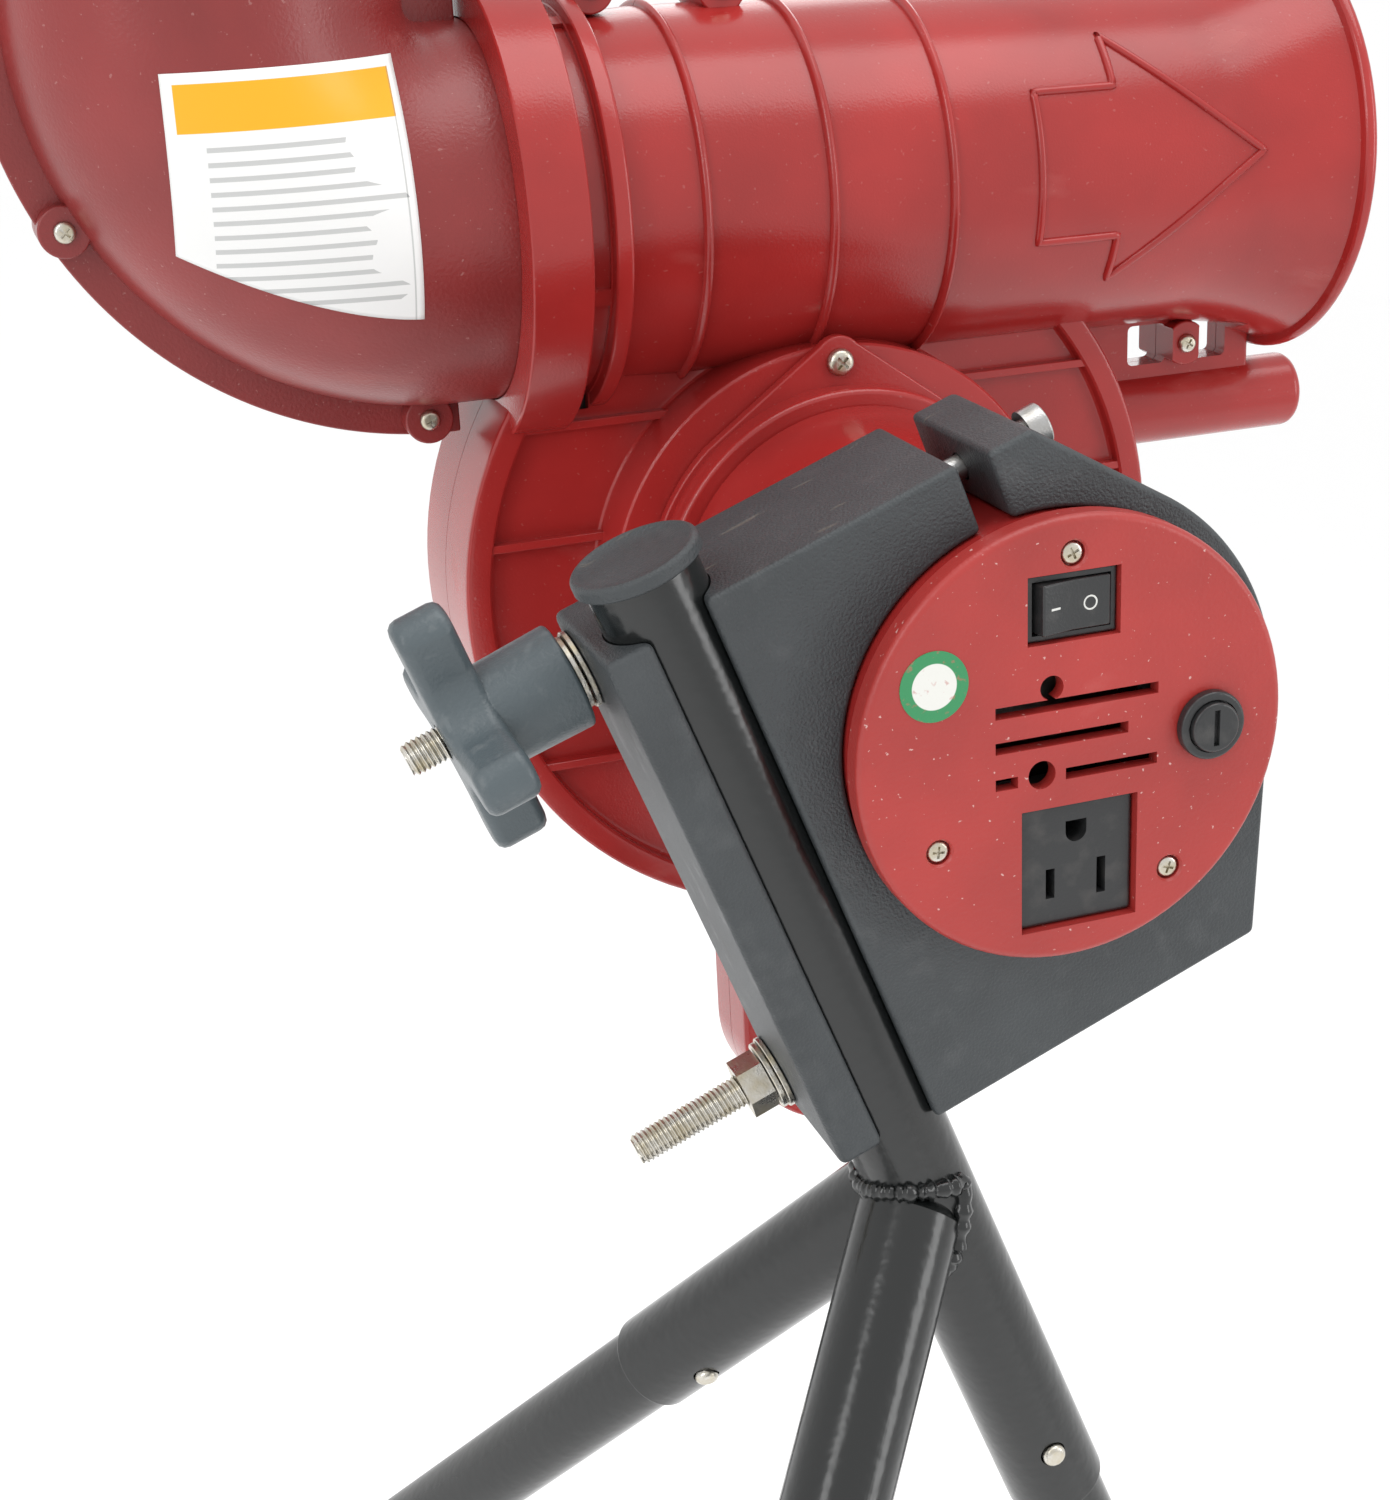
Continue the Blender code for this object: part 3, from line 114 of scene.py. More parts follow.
def soft_box(name, place, aim, width, height, watts):
    data = bpy.data.lights.new(name, "AREA")
    data.shape = "RECTANGLE"
    data.size, data.size_y, data.energy = width, height, watts
    lamp = bpy.data.objects.new(name, data)
    bpy.context.collection.objects.link(lamp)
    lamp.location = place
    lamp.rotation_euler = (Vector(aim) - Vector(place)).to_track_quat("-Z", "Y").to_euler()


MIDDLE = HEAD @ Vector((0, 0.1, 0.05))
soft_box("overhead", MIDDLE + Vector((-0.1, -0.3, 1.6)), MIDDLE, 1.6, 1.0, 13)
soft_box("left_box", MIDDLE + Vector((-1.7, -1.0, 0.5)), MIDDLE, 0.5, 1.5, 9)
soft_box("right_box", MIDDLE + Vector((1.6, -1.3, 0.7)), MIDDLE, 0.6, 1.4, 9)
soft_box("behind", MIDDLE + Vector((0.6, 1.8, 1.0)), MIDDLE, 1.2, 1.0, 6)


# ---------------- tripod frame
# Welded steel tube in black enamel: the post leans back and its line runs on as the front leg's
# socket, and two more sockets are welded on at the apex with a visible, lumpy bead.
class Value:
    """A shader socket that takes part in Python arithmetic: each operation adds its Math node."""

    def __init__(self, finish, socket):
        self.finish, self.socket = finish, socket

    def math(self, operation, first, second):
        return self.finish.math(operation, first, second)

    def __add__(self, other):
        return self.math("ADD", self, other)

    def __sub__(self, other):
        return self.math("SUBTRACT", self, other)

    def __rsub__(self, other):
        return self.math("SUBTRACT", other, self)

    def __mul__(self, other):
        return self.math("MULTIPLY", self, other)

    def __gt__(self, other):
        return self.math("GREATER_THAN", self, other)

    def __lt__(self, other):
        return self.math("LESS_THAN", self, other)

    __radd__ = __add__
    __rmul__ = __mul__


class Finish:
    """A material: its plain values are set on the shader, and what varies is made from nodes."""

    def __init__(self, name, colour, roughness, metallic=0.0, slot=None, **plain):
        self.slot = slot or name
        self.material = bpy.data.materials.new(name)
        self.material.use_nodes = True
        self.tree = self.material.node_tree
        self.shader = self.tree.nodes["Principled BSDF"]
        self.set(Base_Color=(*colour, 1), Roughness=roughness, Metallic=metallic, **plain)
        self.place = self.node("TexCoord", output="Object")

    def feed(self, socket, value):
        if isinstance(value, Value):
            self.tree.links.new(value.socket, socket)
        else:
            socket.default_value = value

    def set(self, **sockets):
        for name, value in sockets.items():
            self.feed(self.shader.inputs[name.replace("_", " ")], value)

    def node(self, kind, settings=None, output=0, **sockets):
        """Any node: its settings first, then its sockets by name, or by number after an underscore."""
        node = self.tree.nodes.new(f"ShaderNode{kind}")
        for name, value in (settings or {}).items():
            setattr(node, name, value)
        for name, value in sockets.items():
            key = int(name[1:]) if name[0] == "_" else name.replace("_", " ")
            self.feed(node.inputs[key], value)
        return Value(self, node.outputs[output])

    def math(self, operation, first, second):
        return self.node("Math", {"operation": operation}, _0=first, _1=second)

    def noise(self, per_metre, detail=2.0, stretch=(1, 1, 1)):
        where = self.node("Mapping", None, Vector=self.place, Scale=stretch)
        return self.node("TexNoise", None, Vector=where, Scale=per_metre, Detail=detail)

    def masked(self, value, low, high):
        """0 below low and 1 above high."""
        return self.node("MapRange", None, Value=value, From_Min=low, From_Max=high)

    def mixed(self, mask, first, second):
        first, second = (c if isinstance(c, Value) else (*c, 1) for c in (first, second))
        return self.node("Mix", {"data_type": "RGBA"}, 2, _0=mask, _6=first, _7=second)

    def grain(self, height, depth):
        """Relief: a height from 0 to 1, as deep as depth in metres."""
        self.set(Normal=self.node("Bump", None, Height=height, Distance=depth))


def enamel(black=(0.006, 0.007, 0.007)):
    """Satin black enamel with a slight orange peel, dust and a few rubbed streaks."""
    finish = Finish("black_paint", black, 0.24, Coat_Weight=0.25, Coat_Roughness=0.12)
    rubbed = finish.masked(finish.noise(30, 4, (1, 1, 0.15)), 0.62, 0.75)
    dust = finish.noise(400, 3)
    finish.set(Base_Color=finish.mixed(rubbed * 0.25, black, (0.045, 0.044, 0.042)),
               Roughness=0.18 + rubbed * 0.2 + dust * 0.06)
    finish.grain(finish.noise(320, 1), 0.00012)
    return finish


ENAMEL = enamel()


def arc(centre, radius, start, end, steps):
    """Points on an arc, from start to end in degrees."""
    turn = [math.radians(start + (end - start) * i / steps) for i in range(steps + 1)]
    return [(centre[0] + radius * math.cos(a), centre[1] + radius * math.sin(a)) for a in turn]


def turned(profile, steps=96):
    """A closed profile of (radius, height) points spun about Z."""
    mesh = bmesh.new()
    first = math.pi / steps
    points = [mesh.verts.new((radius * math.cos(first), radius * math.sin(first), height))
              for radius, height in profile]
    edges = [mesh.edges.new((points[i - 1], points[i])) for i in range(len(points))
             if profile[i - 1][0] > 0 or profile[i][0] > 0]
    bmesh.ops.spin(mesh, geom=points + edges, axis=(0, 0, 1), cent=(0, 0, 0),
                   angle=2 * math.pi, steps=steps, use_merge=True)
    bmesh.ops.remove_doubles(mesh, verts=mesh.verts, dist=1e-6)
    return mesh


def rod(radius, low, high, edge=0.0, steps=96):
    """A cylinder along Z, its end edges rounded."""
    if not edge:
        return turned([(0, low), (radius, low), (radius, high), (0, high)], steps)
    foot = arc((radius - edge, low + edge), edge, -90, 0, 4)
    head = arc((radius - edge, high - edge), edge, 0, 90, 4)
    return turned([(0, low), *foot, *head, (0, high)], steps)


def pipe(outer, inner, low, high, edge=0.0003, steps=96):
    """A tube along Z with broken end edges."""
    outside = [(inner + edge, low), (outer - edge, low), (outer, low + edge), (outer, high - edge)]
    inside = [(outer - edge, high), (inner + edge, high), (inner, high - edge), (inner, low + edge)]
    return turned(outside + inside, steps)


def laid(name, mesh, place):
    bmesh.ops.recalc_face_normals(mesh, faces=mesh.faces)
    data = bpy.data.meshes.new(name)
    mesh.to_mesh(data)
    mesh.free()
    obj = bpy.data.objects.new(name, data)
    bpy.context.collection.objects.link(obj)
    obj.matrix_world = place
    return obj


def bevelled(obj, width):
    modifier = obj.modifiers.new("edge", "BEVEL")
    modifier.width, modifier.segments = width, 3
    modifier.limit_method = "ANGLE"
    modifier.angle_limit = math.radians(35)


def baked(obj):
    """The object's modifiers made part of its mesh."""
    graph = bpy.context.evaluated_depsgraph_get()
    data = bpy.data.meshes.new_from_object(obj.evaluated_get(graph))
    obj.modifiers.clear()
    obj.data = data


def piece(name, mesh, place, finish, body, stands_for=(), join=(), cut=(), edge=0.0, sharp=35):
    """A finished piece: joined with and cut by (mesh, place, edge) tools, and riding on its body."""
    obj = laid(name, mesh, place)
    if edge:
        bevelled(obj, edge)
    tools = []
    for operation, group in (("UNION", join), ("DIFFERENCE", cut)):
        for tool_mesh, tool_place, *tool_edge in group:
            tool = laid("tool", tool_mesh, tool_place)
            if tool_edge:
                bevelled(tool, tool_edge[0])
            modifier = obj.modifiers.new(operation, "BOOLEAN")
            modifier.operation, modifier.object, modifier.solver = operation, tool, "MANIFOLD"
            tools.append(tool)
    baked(obj)
    for tool in tools:
        bpy.data.objects.remove(tool)
    obj.data.shade_smooth()
    obj.data.set_sharp_from_angle(angle=math.radians(sharp))
    weighted = obj.modifiers.new("even_shading", "WEIGHTED_NORMAL")
    weighted.keep_sharp = True
    obj.data.materials.clear()
    obj.data.materials.append(finish.material)
    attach(obj, body)
    if stands_for:
        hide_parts(*stands_for)
    return obj


LEAN = math.acos(Vector(JOINTS["clamp_swivel"]["axis"]).normalized().z)
APEX = Vector(JOINTS["clamp_swivel"]["pos_m"])
LEG_BEARINGS = {"front": 0, "rear_left": 120, "rear_right": 240}
FIT = 0.0003         # the gap left between two pieces at rest
SLIDE = 0.0004       # the clearance of a hole about a rod
PAST = 0.01          # how far a cutter runs past the surface that it opens
POST_R, LEG_R, LEG_WALL = 0.0127, 0.0111, 0.0012
SOCKET_R = LEG_R + SLIDE
STUB_R = SOCKET_R + 0.00125
STUB_LENGTH, STUB_MITRE, SOCKET_DEPTH = 0.106, 0.009, 0.072
POST_TOP = 0.0988 + 0.0745
HOLE_FROM_MOUTH, HOLE_R = 0.019, 0.0034
FOOT_R = 0.0165
BEAD_R, BEAD_SWELL, BEAD_RIPPLE, BEAD_RIPPLES = 0.0023, 0.0011, 0.00022, 46
LEG_REACH = (APEX.z - FOOT_R) / math.cos(LEAN)


def leg_axes(bearing):
    turn = math.radians(bearing)
    upward = Vector((-math.sin(LEAN) * math.cos(turn), -math.sin(LEAN) * math.sin(turn), math.cos(LEAN)))
    across = upward.cross(Vector((1, 0, 0))).normalized()
    return placed(APEX, across.cross(upward), across, upward)


LEG_AXES = {name: leg_axes(bearing) for name, bearing in LEG_BEARINGS.items()}
BUTTON_TURN = Matrix.Rotation(math.radians(90), 4, "X")


def button_axes(name):
    return LEG_AXES[name] @ shift(0, 0, HOLE_FROM_MOUTH - STUB_LENGTH) @ BUTTON_TURN


def make_hub():
    joined, taken = [], [(rod(SOCKET_R, POST_TOP - 0.12, POST_TOP + PAST), POST)]
    for name, place in LEG_AXES.items():
        if name != "front":
            lip = arc((STUB_R - 0.0005, -STUB_LENGTH + 0.0005), 0.0005, -90, 0, 3)
            stub = [(0, -STUB_LENGTH), *lip, (STUB_R, -STUB_MITRE), (STUB_R / 2, 0), (0, 0)]
            joined.append((turned(stub), place))
        taken.append((rod(SOCKET_R, -STUB_LENGTH - PAST, SOCKET_DEPTH - STUB_LENGTH), place))
        taken.append((rod(HOLE_R, LEG_R - 0.002, STUB_R + PAST), button_axes(name)))
    piece("tripod_post", rod(POST_R, -STUB_LENGTH, POST_TOP, 0.0005), POST, ENAMEL, "tripod", ["tripod_hub"],
          joined, taken)


def skinned(mesh, rings, closed=False):
    """Quads between each ring of points and the next."""
    for first, second in zip(rings, rings[1:] + rings[:closed]):
        for k in range(len(first)):
            mesh.faces.new((first[k - 1], first[k], second[k], second[k - 1]))


def swept(path, radius_at, sides=12):
    """A lumpy round bead along a closed path of points."""
    mesh = bmesh.new()
    count = len(path)
    rings = []
    for i, point in enumerate(path):
        ahead = (path[(i + 1) % count] - path[i - 1]).normalized()
        side = ahead.cross(Vector((0.31, 0.72, 0.62))).normalized()
        other = ahead.cross(side)
        radius = radius_at(i / count)
        rings.append([mesh.verts.new(point + (side * math.cos(a) + other * math.sin(a)) * radius)
                      for a in (2 * math.pi * k / sides for k in range(sides))])
    skinned(mesh, rings, closed=True)
    return mesh


def weld_path(name, steps=160):
    """Where a rear socket's tube breaks out of the post's surface."""
    post_axis, place = POST.to_3x3().col[2], LEG_AXES[name]
    stub_axis = place.to_3x3().col[2]
    tilt = 1 - stub_axis.dot(post_axis) ** 2
    path = []
    for i in range(steps):
        a = 2 * math.pi * i / steps
        out = place.to_3x3() @ Vector((math.cos(a), math.sin(a), 0)) * STUB_R
        flat_out = out - post_axis * out.dot(post_axis)
        flat_axis = stub_axis - post_axis * stub_axis.dot(post_axis)
        half = flat_out.dot(flat_axis)
        inside = max(half * half - tilt * (flat_out.length_squared - POST_R ** 2), 0)
        down = (-half - math.sqrt(inside)) / tilt
        path.append(APEX + out + stub_axis * down)
    return path


def make_welds():
    for number, name in enumerate(("rear_left", "rear_right")):
        def bead(t, seed=number * 7.0):
            a = 2 * math.pi * t
            swell = noise.noise(Vector((math.cos(a) * 9, math.sin(a) * 9, seed)))
            return BEAD_R + BEAD_SWELL * swell + BEAD_RIPPLE * math.sin(a * BEAD_RIPPLES)
        piece(f"{name}_weld", swept(weld_path(name), bead), Matrix(), ENAMEL, "tripod", sharp=60)


make_hub()
make_welds()

# ---------------- post cap
# A moulded plug in the post's open end: its round flange is a little wider than the tube,
# with a shallow dish on top.


def moulded_black(colour, roughness):
    """Matte black moulding: a sandy sparkle, tan scuffs and fine scratches."""
    finish = Finish("black_plastic", colour, roughness)
    tone = finish.noise(45, 5)
    dusty = finish.masked(finish.noise(120, 8), 0.56, 0.74)
    scratch = finish.masked(finish.noise(60, 6, (1, 6, 0.25)), 0.66, 0.7)
    pale, tan = tuple(c + 0.045 for c in colour), (0.15, 0.125, 0.1)
    base = finish.mixed(finish.masked(tone, 0.35, 0.75), colour, tuple(c * 1.35 for c in colour))
    base = finish.mixed(dusty * 0.3, base, pale)
    finish.set(Base_Color=finish.mixed(scratch * 0.45, base, tan),
               Roughness=roughness + scratch * 0.15 - dusty * 0.08)
    finish.grain(finish.noise(1500, 3) + scratch * -0.25, 0.00035)
    return finish


BLOCK_BLACK = moulded_black((0.036, 0.041, 0.044), 0.48)
CAP_R, CAP_FLANGE, CAP_PLUG = 0.0146, 0.0035, 0.016


def make_cap():
    seat = POST_TOP + FIT
    top = seat + CAP_FLANGE
    rim = arc((CAP_R - 0.0012, top - 0.0012), 0.0012, 0, 100, 6)
    plug, dish = SOCKET_R - FIT, top - 0.0009
    profile = [(0, POST_TOP - CAP_PLUG), (plug, POST_TOP - CAP_PLUG), (plug, seat), (CAP_R - 0.0004, seat),
               (CAP_R, seat + 0.0004), *rim, (CAP_R - 0.0024, top - 0.0007), (CAP_R - 0.006, dish), (0, dish)]
    piece("post_plug", turned(profile), POST, BLOCK_BLACK, "tripod", ["post_cap"])


make_cap()

# ---------------- legs, snap buttons and feet
# Plain enamelled tubes pushed into the sockets, each locked by a plated button that stands out
# through the socket's hole, and ended by a moulded rubber foot.


def plated(name, colour, stain, roughness):
    """Zinc or steel: bright, with a faint yellow stain and uneven gloss."""
    finish = Finish(name, colour, roughness, 1.0)
    cloud = finish.masked(finish.noise(220, 4), 0.4, 0.7)
    finish.set(Base_Color=finish.mixed(cloud, colour, stain), Roughness=roughness + cloud * 0.14)
    finish.grain(finish.noise(1800, 2), 0.00006)
    return finish


def rubber(name, colour, roughness):
    finish = Finish(name, colour, roughness)
    worn = finish.masked(finish.noise(90, 5), 0.5, 0.75)
    finish.set(Base_Color=finish.mixed(worn, colour, tuple(c * 2.2 for c in colour)),
               Roughness=roughness - worn * 0.1)
    finish.grain(finish.noise(900, 3), 0.0002)
    return finish


ZINC = plated("zinc", (0.62, 0.6, 0.55), (0.5, 0.44, 0.31), 0.26)
FOOT_RUBBER = rubber("foot_rubber", (0.016, 0.016, 0.016), 0.85)
BUTTON_R, BUTTON_PROUD, BUTTON_FLANGE, FOOT_GRIP = 0.003, 0.0016, 0.0042, 0.024


def make_leg(name, place):
    tube = pipe(LEG_R, LEG_R - LEG_WALL, -LEG_REACH, SOCKET_DEPTH - STUB_LENGTH - FIT)
    piece(f"{name}_tube", tube, place, ENAMEL, "tripod", [f"{name}_leg"],
          cut=[(rod(HOLE_R, LEG_R - 0.003, STUB_R + PAST), button_axes(name))])
    collar = math.sqrt(((LEG_R - LEG_WALL) * 0.985) ** 2 - BUTTON_FLANGE ** 2) - FIT
    high = STUB_R + BUTTON_PROUD
    under = collar - 0.001
    button = [(0, under), (BUTTON_FLANGE, under), (BUTTON_FLANGE, collar), (BUTTON_R, collar),
              *arc((BUTTON_R - 0.0014, high - 0.0014), 0.0014, 0, 90, 8), (0, high)]
    piece(f"{name}_button", turned(button, 48), button_axes(name), ZINC, f"{name}_button",
          [f"{name}_snap_button"])
    grip, sole, snug = -LEG_REACH + FOOT_GRIP, -LEG_REACH - FIT, LEG_R + FIT
    ball = arc((0, -LEG_REACH), FOOT_R, 0, -90, 20)
    foot = [(0, sole), (snug, sole), (snug, grip), (LEG_R + 0.0016, grip), (LEG_R + 0.0026, grip - 0.001),
            (LEG_R + 0.0032, grip - 0.005), (FOOT_R - 0.0006, grip - 0.012)]
    for ring in range(3):
        low, groove = grip - 0.013 - ring * 0.0028, FOOT_R - 0.0008
        foot += [(FOOT_R, low), (FOOT_R, low - 0.0016), (groove, low - 0.0019), (groove, low - 0.0025)]
    piece(f"{name}_rubber_foot", turned(foot + ball[1:]), place, FOOT_RUBBER, "tripod", [f"{name}_foot"])


for leg_name, leg_place in LEG_AXES.items():
    make_leg(leg_name, leg_place)

# ---------------- clamp block and bar
# Two black mouldings squeeze the post between them. The block's split ring also grips the motor's
# case, closed by a socket bolt across the slit beside it.
POST_X, POST_Y = -0.068, 0.0245
BLOCK_FRONT, BLOCK_BACK = 0.0115, 0.053
BLOCK_LEFT, BLOCK_TOP, BLOCK_FOOT, FOOT_RIGHT = -0.06, 0.0665, -0.077, 0.029
RING_R, CASE_R = 0.0567, 0.0497
SLOT_LEFT, SLOT_RIGHT, LUG_RIGHT, LUG_TOP = 0.0009, 0.0084, 0.0195, 0.0655
BAR_LEFT, BAR_RIGHT, BAR_TOP, BAR_FOOT = -0.085, -0.074, 0.064, -0.0755
STUD_R, STUD_Y, STUD_UPPER_Z, STUD_LOWER_Z = 0.004, 0.0434, 0.053, -0.064
STUD_END = BLOCK_LEFT + 0.021
PINCH_Y, PINCH_Z, PINCH_R, PINCH_END = 0.032, 0.0572, 0.003, -0.019
PINCH_HEAD_R, PINCH_HEAD, PINCH_SEAT, PINCH_EDGE = 0.005, 0.005, 0.0245, 0.0006


def slab(outline, low, high):
    """An outline of (x, z) points, extruded along Y from low to high."""
    mesh = bmesh.new()
    face = mesh.faces.new([mesh.verts.new((x, low, z)) for x, z in outline])
    grown = bmesh.ops.extrude_face_region(mesh, geom=[face])["geom"]
    moved = [item for item in grown if isinstance(item, bmesh.types.BMVert)]
    bmesh.ops.translate(mesh, verts=moved, vec=(0, high - low, 0))
    return mesh


def brick(low, high):
    mesh = bmesh.new()
    size = Vector(high) - Vector(low)
    middle = (Vector(high) + Vector(low)) / 2
    bmesh.ops.create_cube(mesh, size=1, matrix=Matrix.Translation(middle) @ Matrix.Diagonal((*size, 1)))
    return mesh


def ring_tangent(point, side):
    """The angle, in degrees, where a line from the point touches the block's ring."""
    return math.degrees(math.atan2(point[1], point[0]) + side * math.acos(RING_R / math.hypot(*point)))


def block_outline():
    lug, foot = (LUG_RIGHT, LUG_TOP), (FOOT_RIGHT, BLOCK_FOOT)
    bore = CASE_R + SLIDE
    right_edge = math.degrees(math.acos(SLOT_RIGHT / bore))
    left_edge = math.degrees(math.acos(SLOT_LEFT / bore))
    round_ring = arc((0, 0), RING_R, ring_tangent(foot, 1), ring_tangent(lug, -1), 48)
    return [(BLOCK_LEFT, BLOCK_FOOT), foot, *round_ring, lug, (SLOT_RIGHT, LUG_TOP),
            *arc((0, 0), bore, right_edge, left_edge - 360, 120),
            (SLOT_LEFT, BLOCK_TOP), (BLOCK_LEFT, BLOCK_TOP)]


def clamp_holes():
    """The post's groove and the studs' holes, which the block and the bar share."""
    groove = rod(POST_R + FIT, BLOCK_FOOT - PAST, BLOCK_TOP + PAST)
    holes = [(rod(STUD_R + SLIDE, BAR_LEFT - PAST, STUD_END + FIT, steps=48),
              CLAMP @ shift(0, STUD_Y, z) @ SHAPE_X) for z in (STUD_UPPER_Z, STUD_LOWER_Z)]
    return [(groove, CLAMP @ shift(POST_X, POST_Y, 0)), *holes]


def make_clamp():
    pinch = CLAMP @ shift(0, PINCH_Y, PINCH_Z) @ SHAPE_X
    beyond = 0.06
    bores = [(rod(PINCH_R + SLIDE, PINCH_END - FIT, beyond, steps=32), pinch),
             (rod(PINCH_HEAD_R + SLIDE, PINCH_SEAT, beyond, steps=48), pinch)]
    piece("split_block", slab(block_outline(), BLOCK_FRONT, BLOCK_BACK), CLAMP, BLOCK_BLACK, "clamp",
          ["clamp_block"], cut=clamp_holes() + bores, edge=0.0013)
    bar = brick((BAR_LEFT, BLOCK_FRONT, BAR_FOOT), (BAR_RIGHT, BLOCK_BACK, BAR_TOP))
    piece("jaw_bar", bar, CLAMP, BLOCK_BLACK, "clamp_bar", ["clamp_bar"], cut=clamp_holes(), edge=0.0018)
    head = PINCH_SEAT + FIT
    top = head + PINCH_HEAD
    bolt = [(0, PINCH_END), (PINCH_R, PINCH_END), (PINCH_R, head), (PINCH_HEAD_R, head),
            *arc((PINCH_HEAD_R - PINCH_EDGE, top - PINCH_EDGE), PINCH_EDGE, 0, 90, 4), (0, top)]
    socket = rod(0.0026, head + 0.002, head + PAST, steps=6)
    piece("ring_bolt", turned(bolt, 48), pinch, STEEL, "clamp", ["pinch_bolt"], cut=[(socket, pinch)])


STEEL = plated("steel", (0.5, 0.5, 0.5), (0.38, 0.36, 0.33), 0.28)
make_clamp()

# ---------------- studs, washers and nut
# Zinc-plated studs with a full coarse thread, run out past the knob and the nut, and plain
# washers in pairs under each.
WASHER_R, WASHER_THICK = 0.0092, 0.0013
PITCH, THREAD_DEPTH = 0.00125, 0.00062
HUB_LENGTH, KNOB_LOBE, NUT_ACROSS, NUT_THICK = 0.0185, 0.0128, 0.013, 0.0066
KNOB_SEAT = BAR_LEFT - FIT - 2 * (WASHER_THICK + FIT)
LOBE_BASE = KNOB_SEAT - HUB_LENGTH
KNOB_FACE = LOBE_BASE - KNOB_LOBE
NUT_FACE = KNOB_SEAT - NUT_THICK


def threaded(radius, low, high, sides=28, per_turn=8):
    """A rod with a helical thread, its ends tapered off."""
    mesh = bmesh.new()
    count = int((high - low) / PITCH * per_turn)
    rings = []
    for i in range(count + 1):
        z = low + (high - low) * i / count
        fade = min((z - low) / PITCH, (high - z) / PITCH, 1.0)
        ring = []
        for k in range(sides):
            a = 2 * math.pi * k / sides
            phase = (z / PITCH - k / sides) % 1.0
            groove = THREAD_DEPTH * (1 - abs(2 * phase - 1)) + THREAD_DEPTH * 0.8 * (1 - fade)
            ring.append(mesh.verts.new(((radius - groove) * math.cos(a), (radius - groove) * math.sin(a), z)))
        rings.append(ring)
    skinned(mesh, rings)
    mesh.faces.new(rings[0][::-1])
    mesh.faces.new(rings[-1])
    return mesh


def make_fixings():
    tips = (("upper_stud", KNOB_FACE - 0.009, STUD_UPPER_Z), ("lower_stud", NUT_FACE - 0.029, STUD_LOWER_Z))
    for name, tip, z in tips:
        place = CLAMP @ shift(0, STUD_Y, z) @ SHAPE_X
        piece(f"{name}_thread", threaded(STUD_R, tip, STUD_END), place, ZINC, "clamp", [name], sharp=80)
    for side, z, body in (("knob", STUD_UPPER_Z, "knob_washers"), ("nut", STUD_LOWER_Z, "clamp")):
        place = CLAMP @ shift(0, STUD_Y, z) @ SHAPE_X
        for i, layer in enumerate(("inner", "outer")):
            low = BAR_LEFT - (i + 1) * (WASHER_THICK + FIT)
            washer = pipe(WASHER_R - 0.0006 * i, STUD_R + SLIDE, low, low + WASHER_THICK, 0.0002)
            piece(f"{side}_{layer}_ring", washer, place, ZINC, body, [f"{side}_{layer}_washer"])
    corner = NUT_ACROSS / math.sqrt(3)
    place = CLAMP @ shift(0, STUD_Y, STUD_LOWER_Z) @ SHAPE_X
    wide, front = corner + 0.003, NUT_FACE - 0.001
    chamfer = turned([(corner * 0.88, front), (wide, front), (wide, NUT_FACE + 0.0026)])
    piece("hex_nut", rod(corner, NUT_FACE, KNOB_SEAT, steps=6), place, ZINC, "clamp", ["lower_nut"],
          cut=[(rod(STUD_R + SLIDE / 2, NUT_FACE - PAST, 0, steps=48), place), (chamfer, place)], sharp=20)


make_fixings()

# ---------------- star knob
# A grey glass-filled moulding: four stout lobes on a round stem, rubbed pale in patches.


def rubbed_grey():
    finish = Finish("knob_plastic", (0.06, 0.076, 0.086), 0.42)
    tone = finish.noise(70, 4)
    worn = finish.masked(finish.noise(240, 6), 0.58, 0.72)
    base = finish.mixed(tone, (0.058, 0.074, 0.082), (0.092, 0.115, 0.126))
    finish.set(Base_Color=finish.mixed(worn * 0.35, base, (0.17, 0.185, 0.19)), Roughness=0.36 + worn * 0.2)
    finish.grain(finish.noise(1100, 3), 0.00016)
    return finish


KNOB_GREY = rubbed_grey()
HUB_R, KNOB_R, LOBE_WIDTH = 0.012, 0.0312, 0.015


def lobe_outline():
    """Four round-ended lobes, joined by filleted roots."""
    half = LOBE_WIDTH / 2
    points = []
    for quarter in range(4):
        turn = Matrix.Rotation(quarter * math.pi / 2, 2)
        tip = arc((KNOB_R - half * 0.85, 0), half * 0.85, -78, 78, 16)
        root = arc((half * 2.35, half * 2.35), half * 1.6, 264, 186, 8)
        points += [tuple(turn @ Vector(point)) for point in (*tip, *root)]
    return points


def make_knob():
    place = CLAMP @ shift(0, STUD_Y, STUD_UPPER_Z)
    lying = place @ Matrix.Rotation(math.radians(-90), 4, "Z") @ Matrix.Rotation(math.radians(8), 4, "Y")
    stem = [(0, LOBE_BASE - 0.004), (HUB_R, LOBE_BASE - 0.004), (HUB_R, LOBE_BASE),
            *arc((HUB_R - 0.0006, KNOB_SEAT - 0.001), 0.001, 0, 90, 5), (0, KNOB_SEAT)]
    face = rod(HUB_R - 0.001, KNOB_FACE + 0.0004, LOBE_BASE, 0.0008)
    hole = rod(STUD_R + SLIDE, KNOB_FACE - PAST, 0, steps=48)
    piece("four_lobe_knob", turned(stem), place @ SHAPE_X, KNOB_GREY, "knob", ["star_knob"],
          join=[(slab(lobe_outline(), KNOB_FACE, LOBE_BASE), lying, 0.0026), (face, place @ SHAPE_X)],
          cut=[(hole, place @ SHAPE_X)], sharp=50)


make_knob()

# ---------------- switch panel
# A round red moulding that closes the motor's end: speckled, with vent slots and two bossed
# vent holes, held by three sunk cross-recess screws. A plain green-ringed dot is stuck on it.


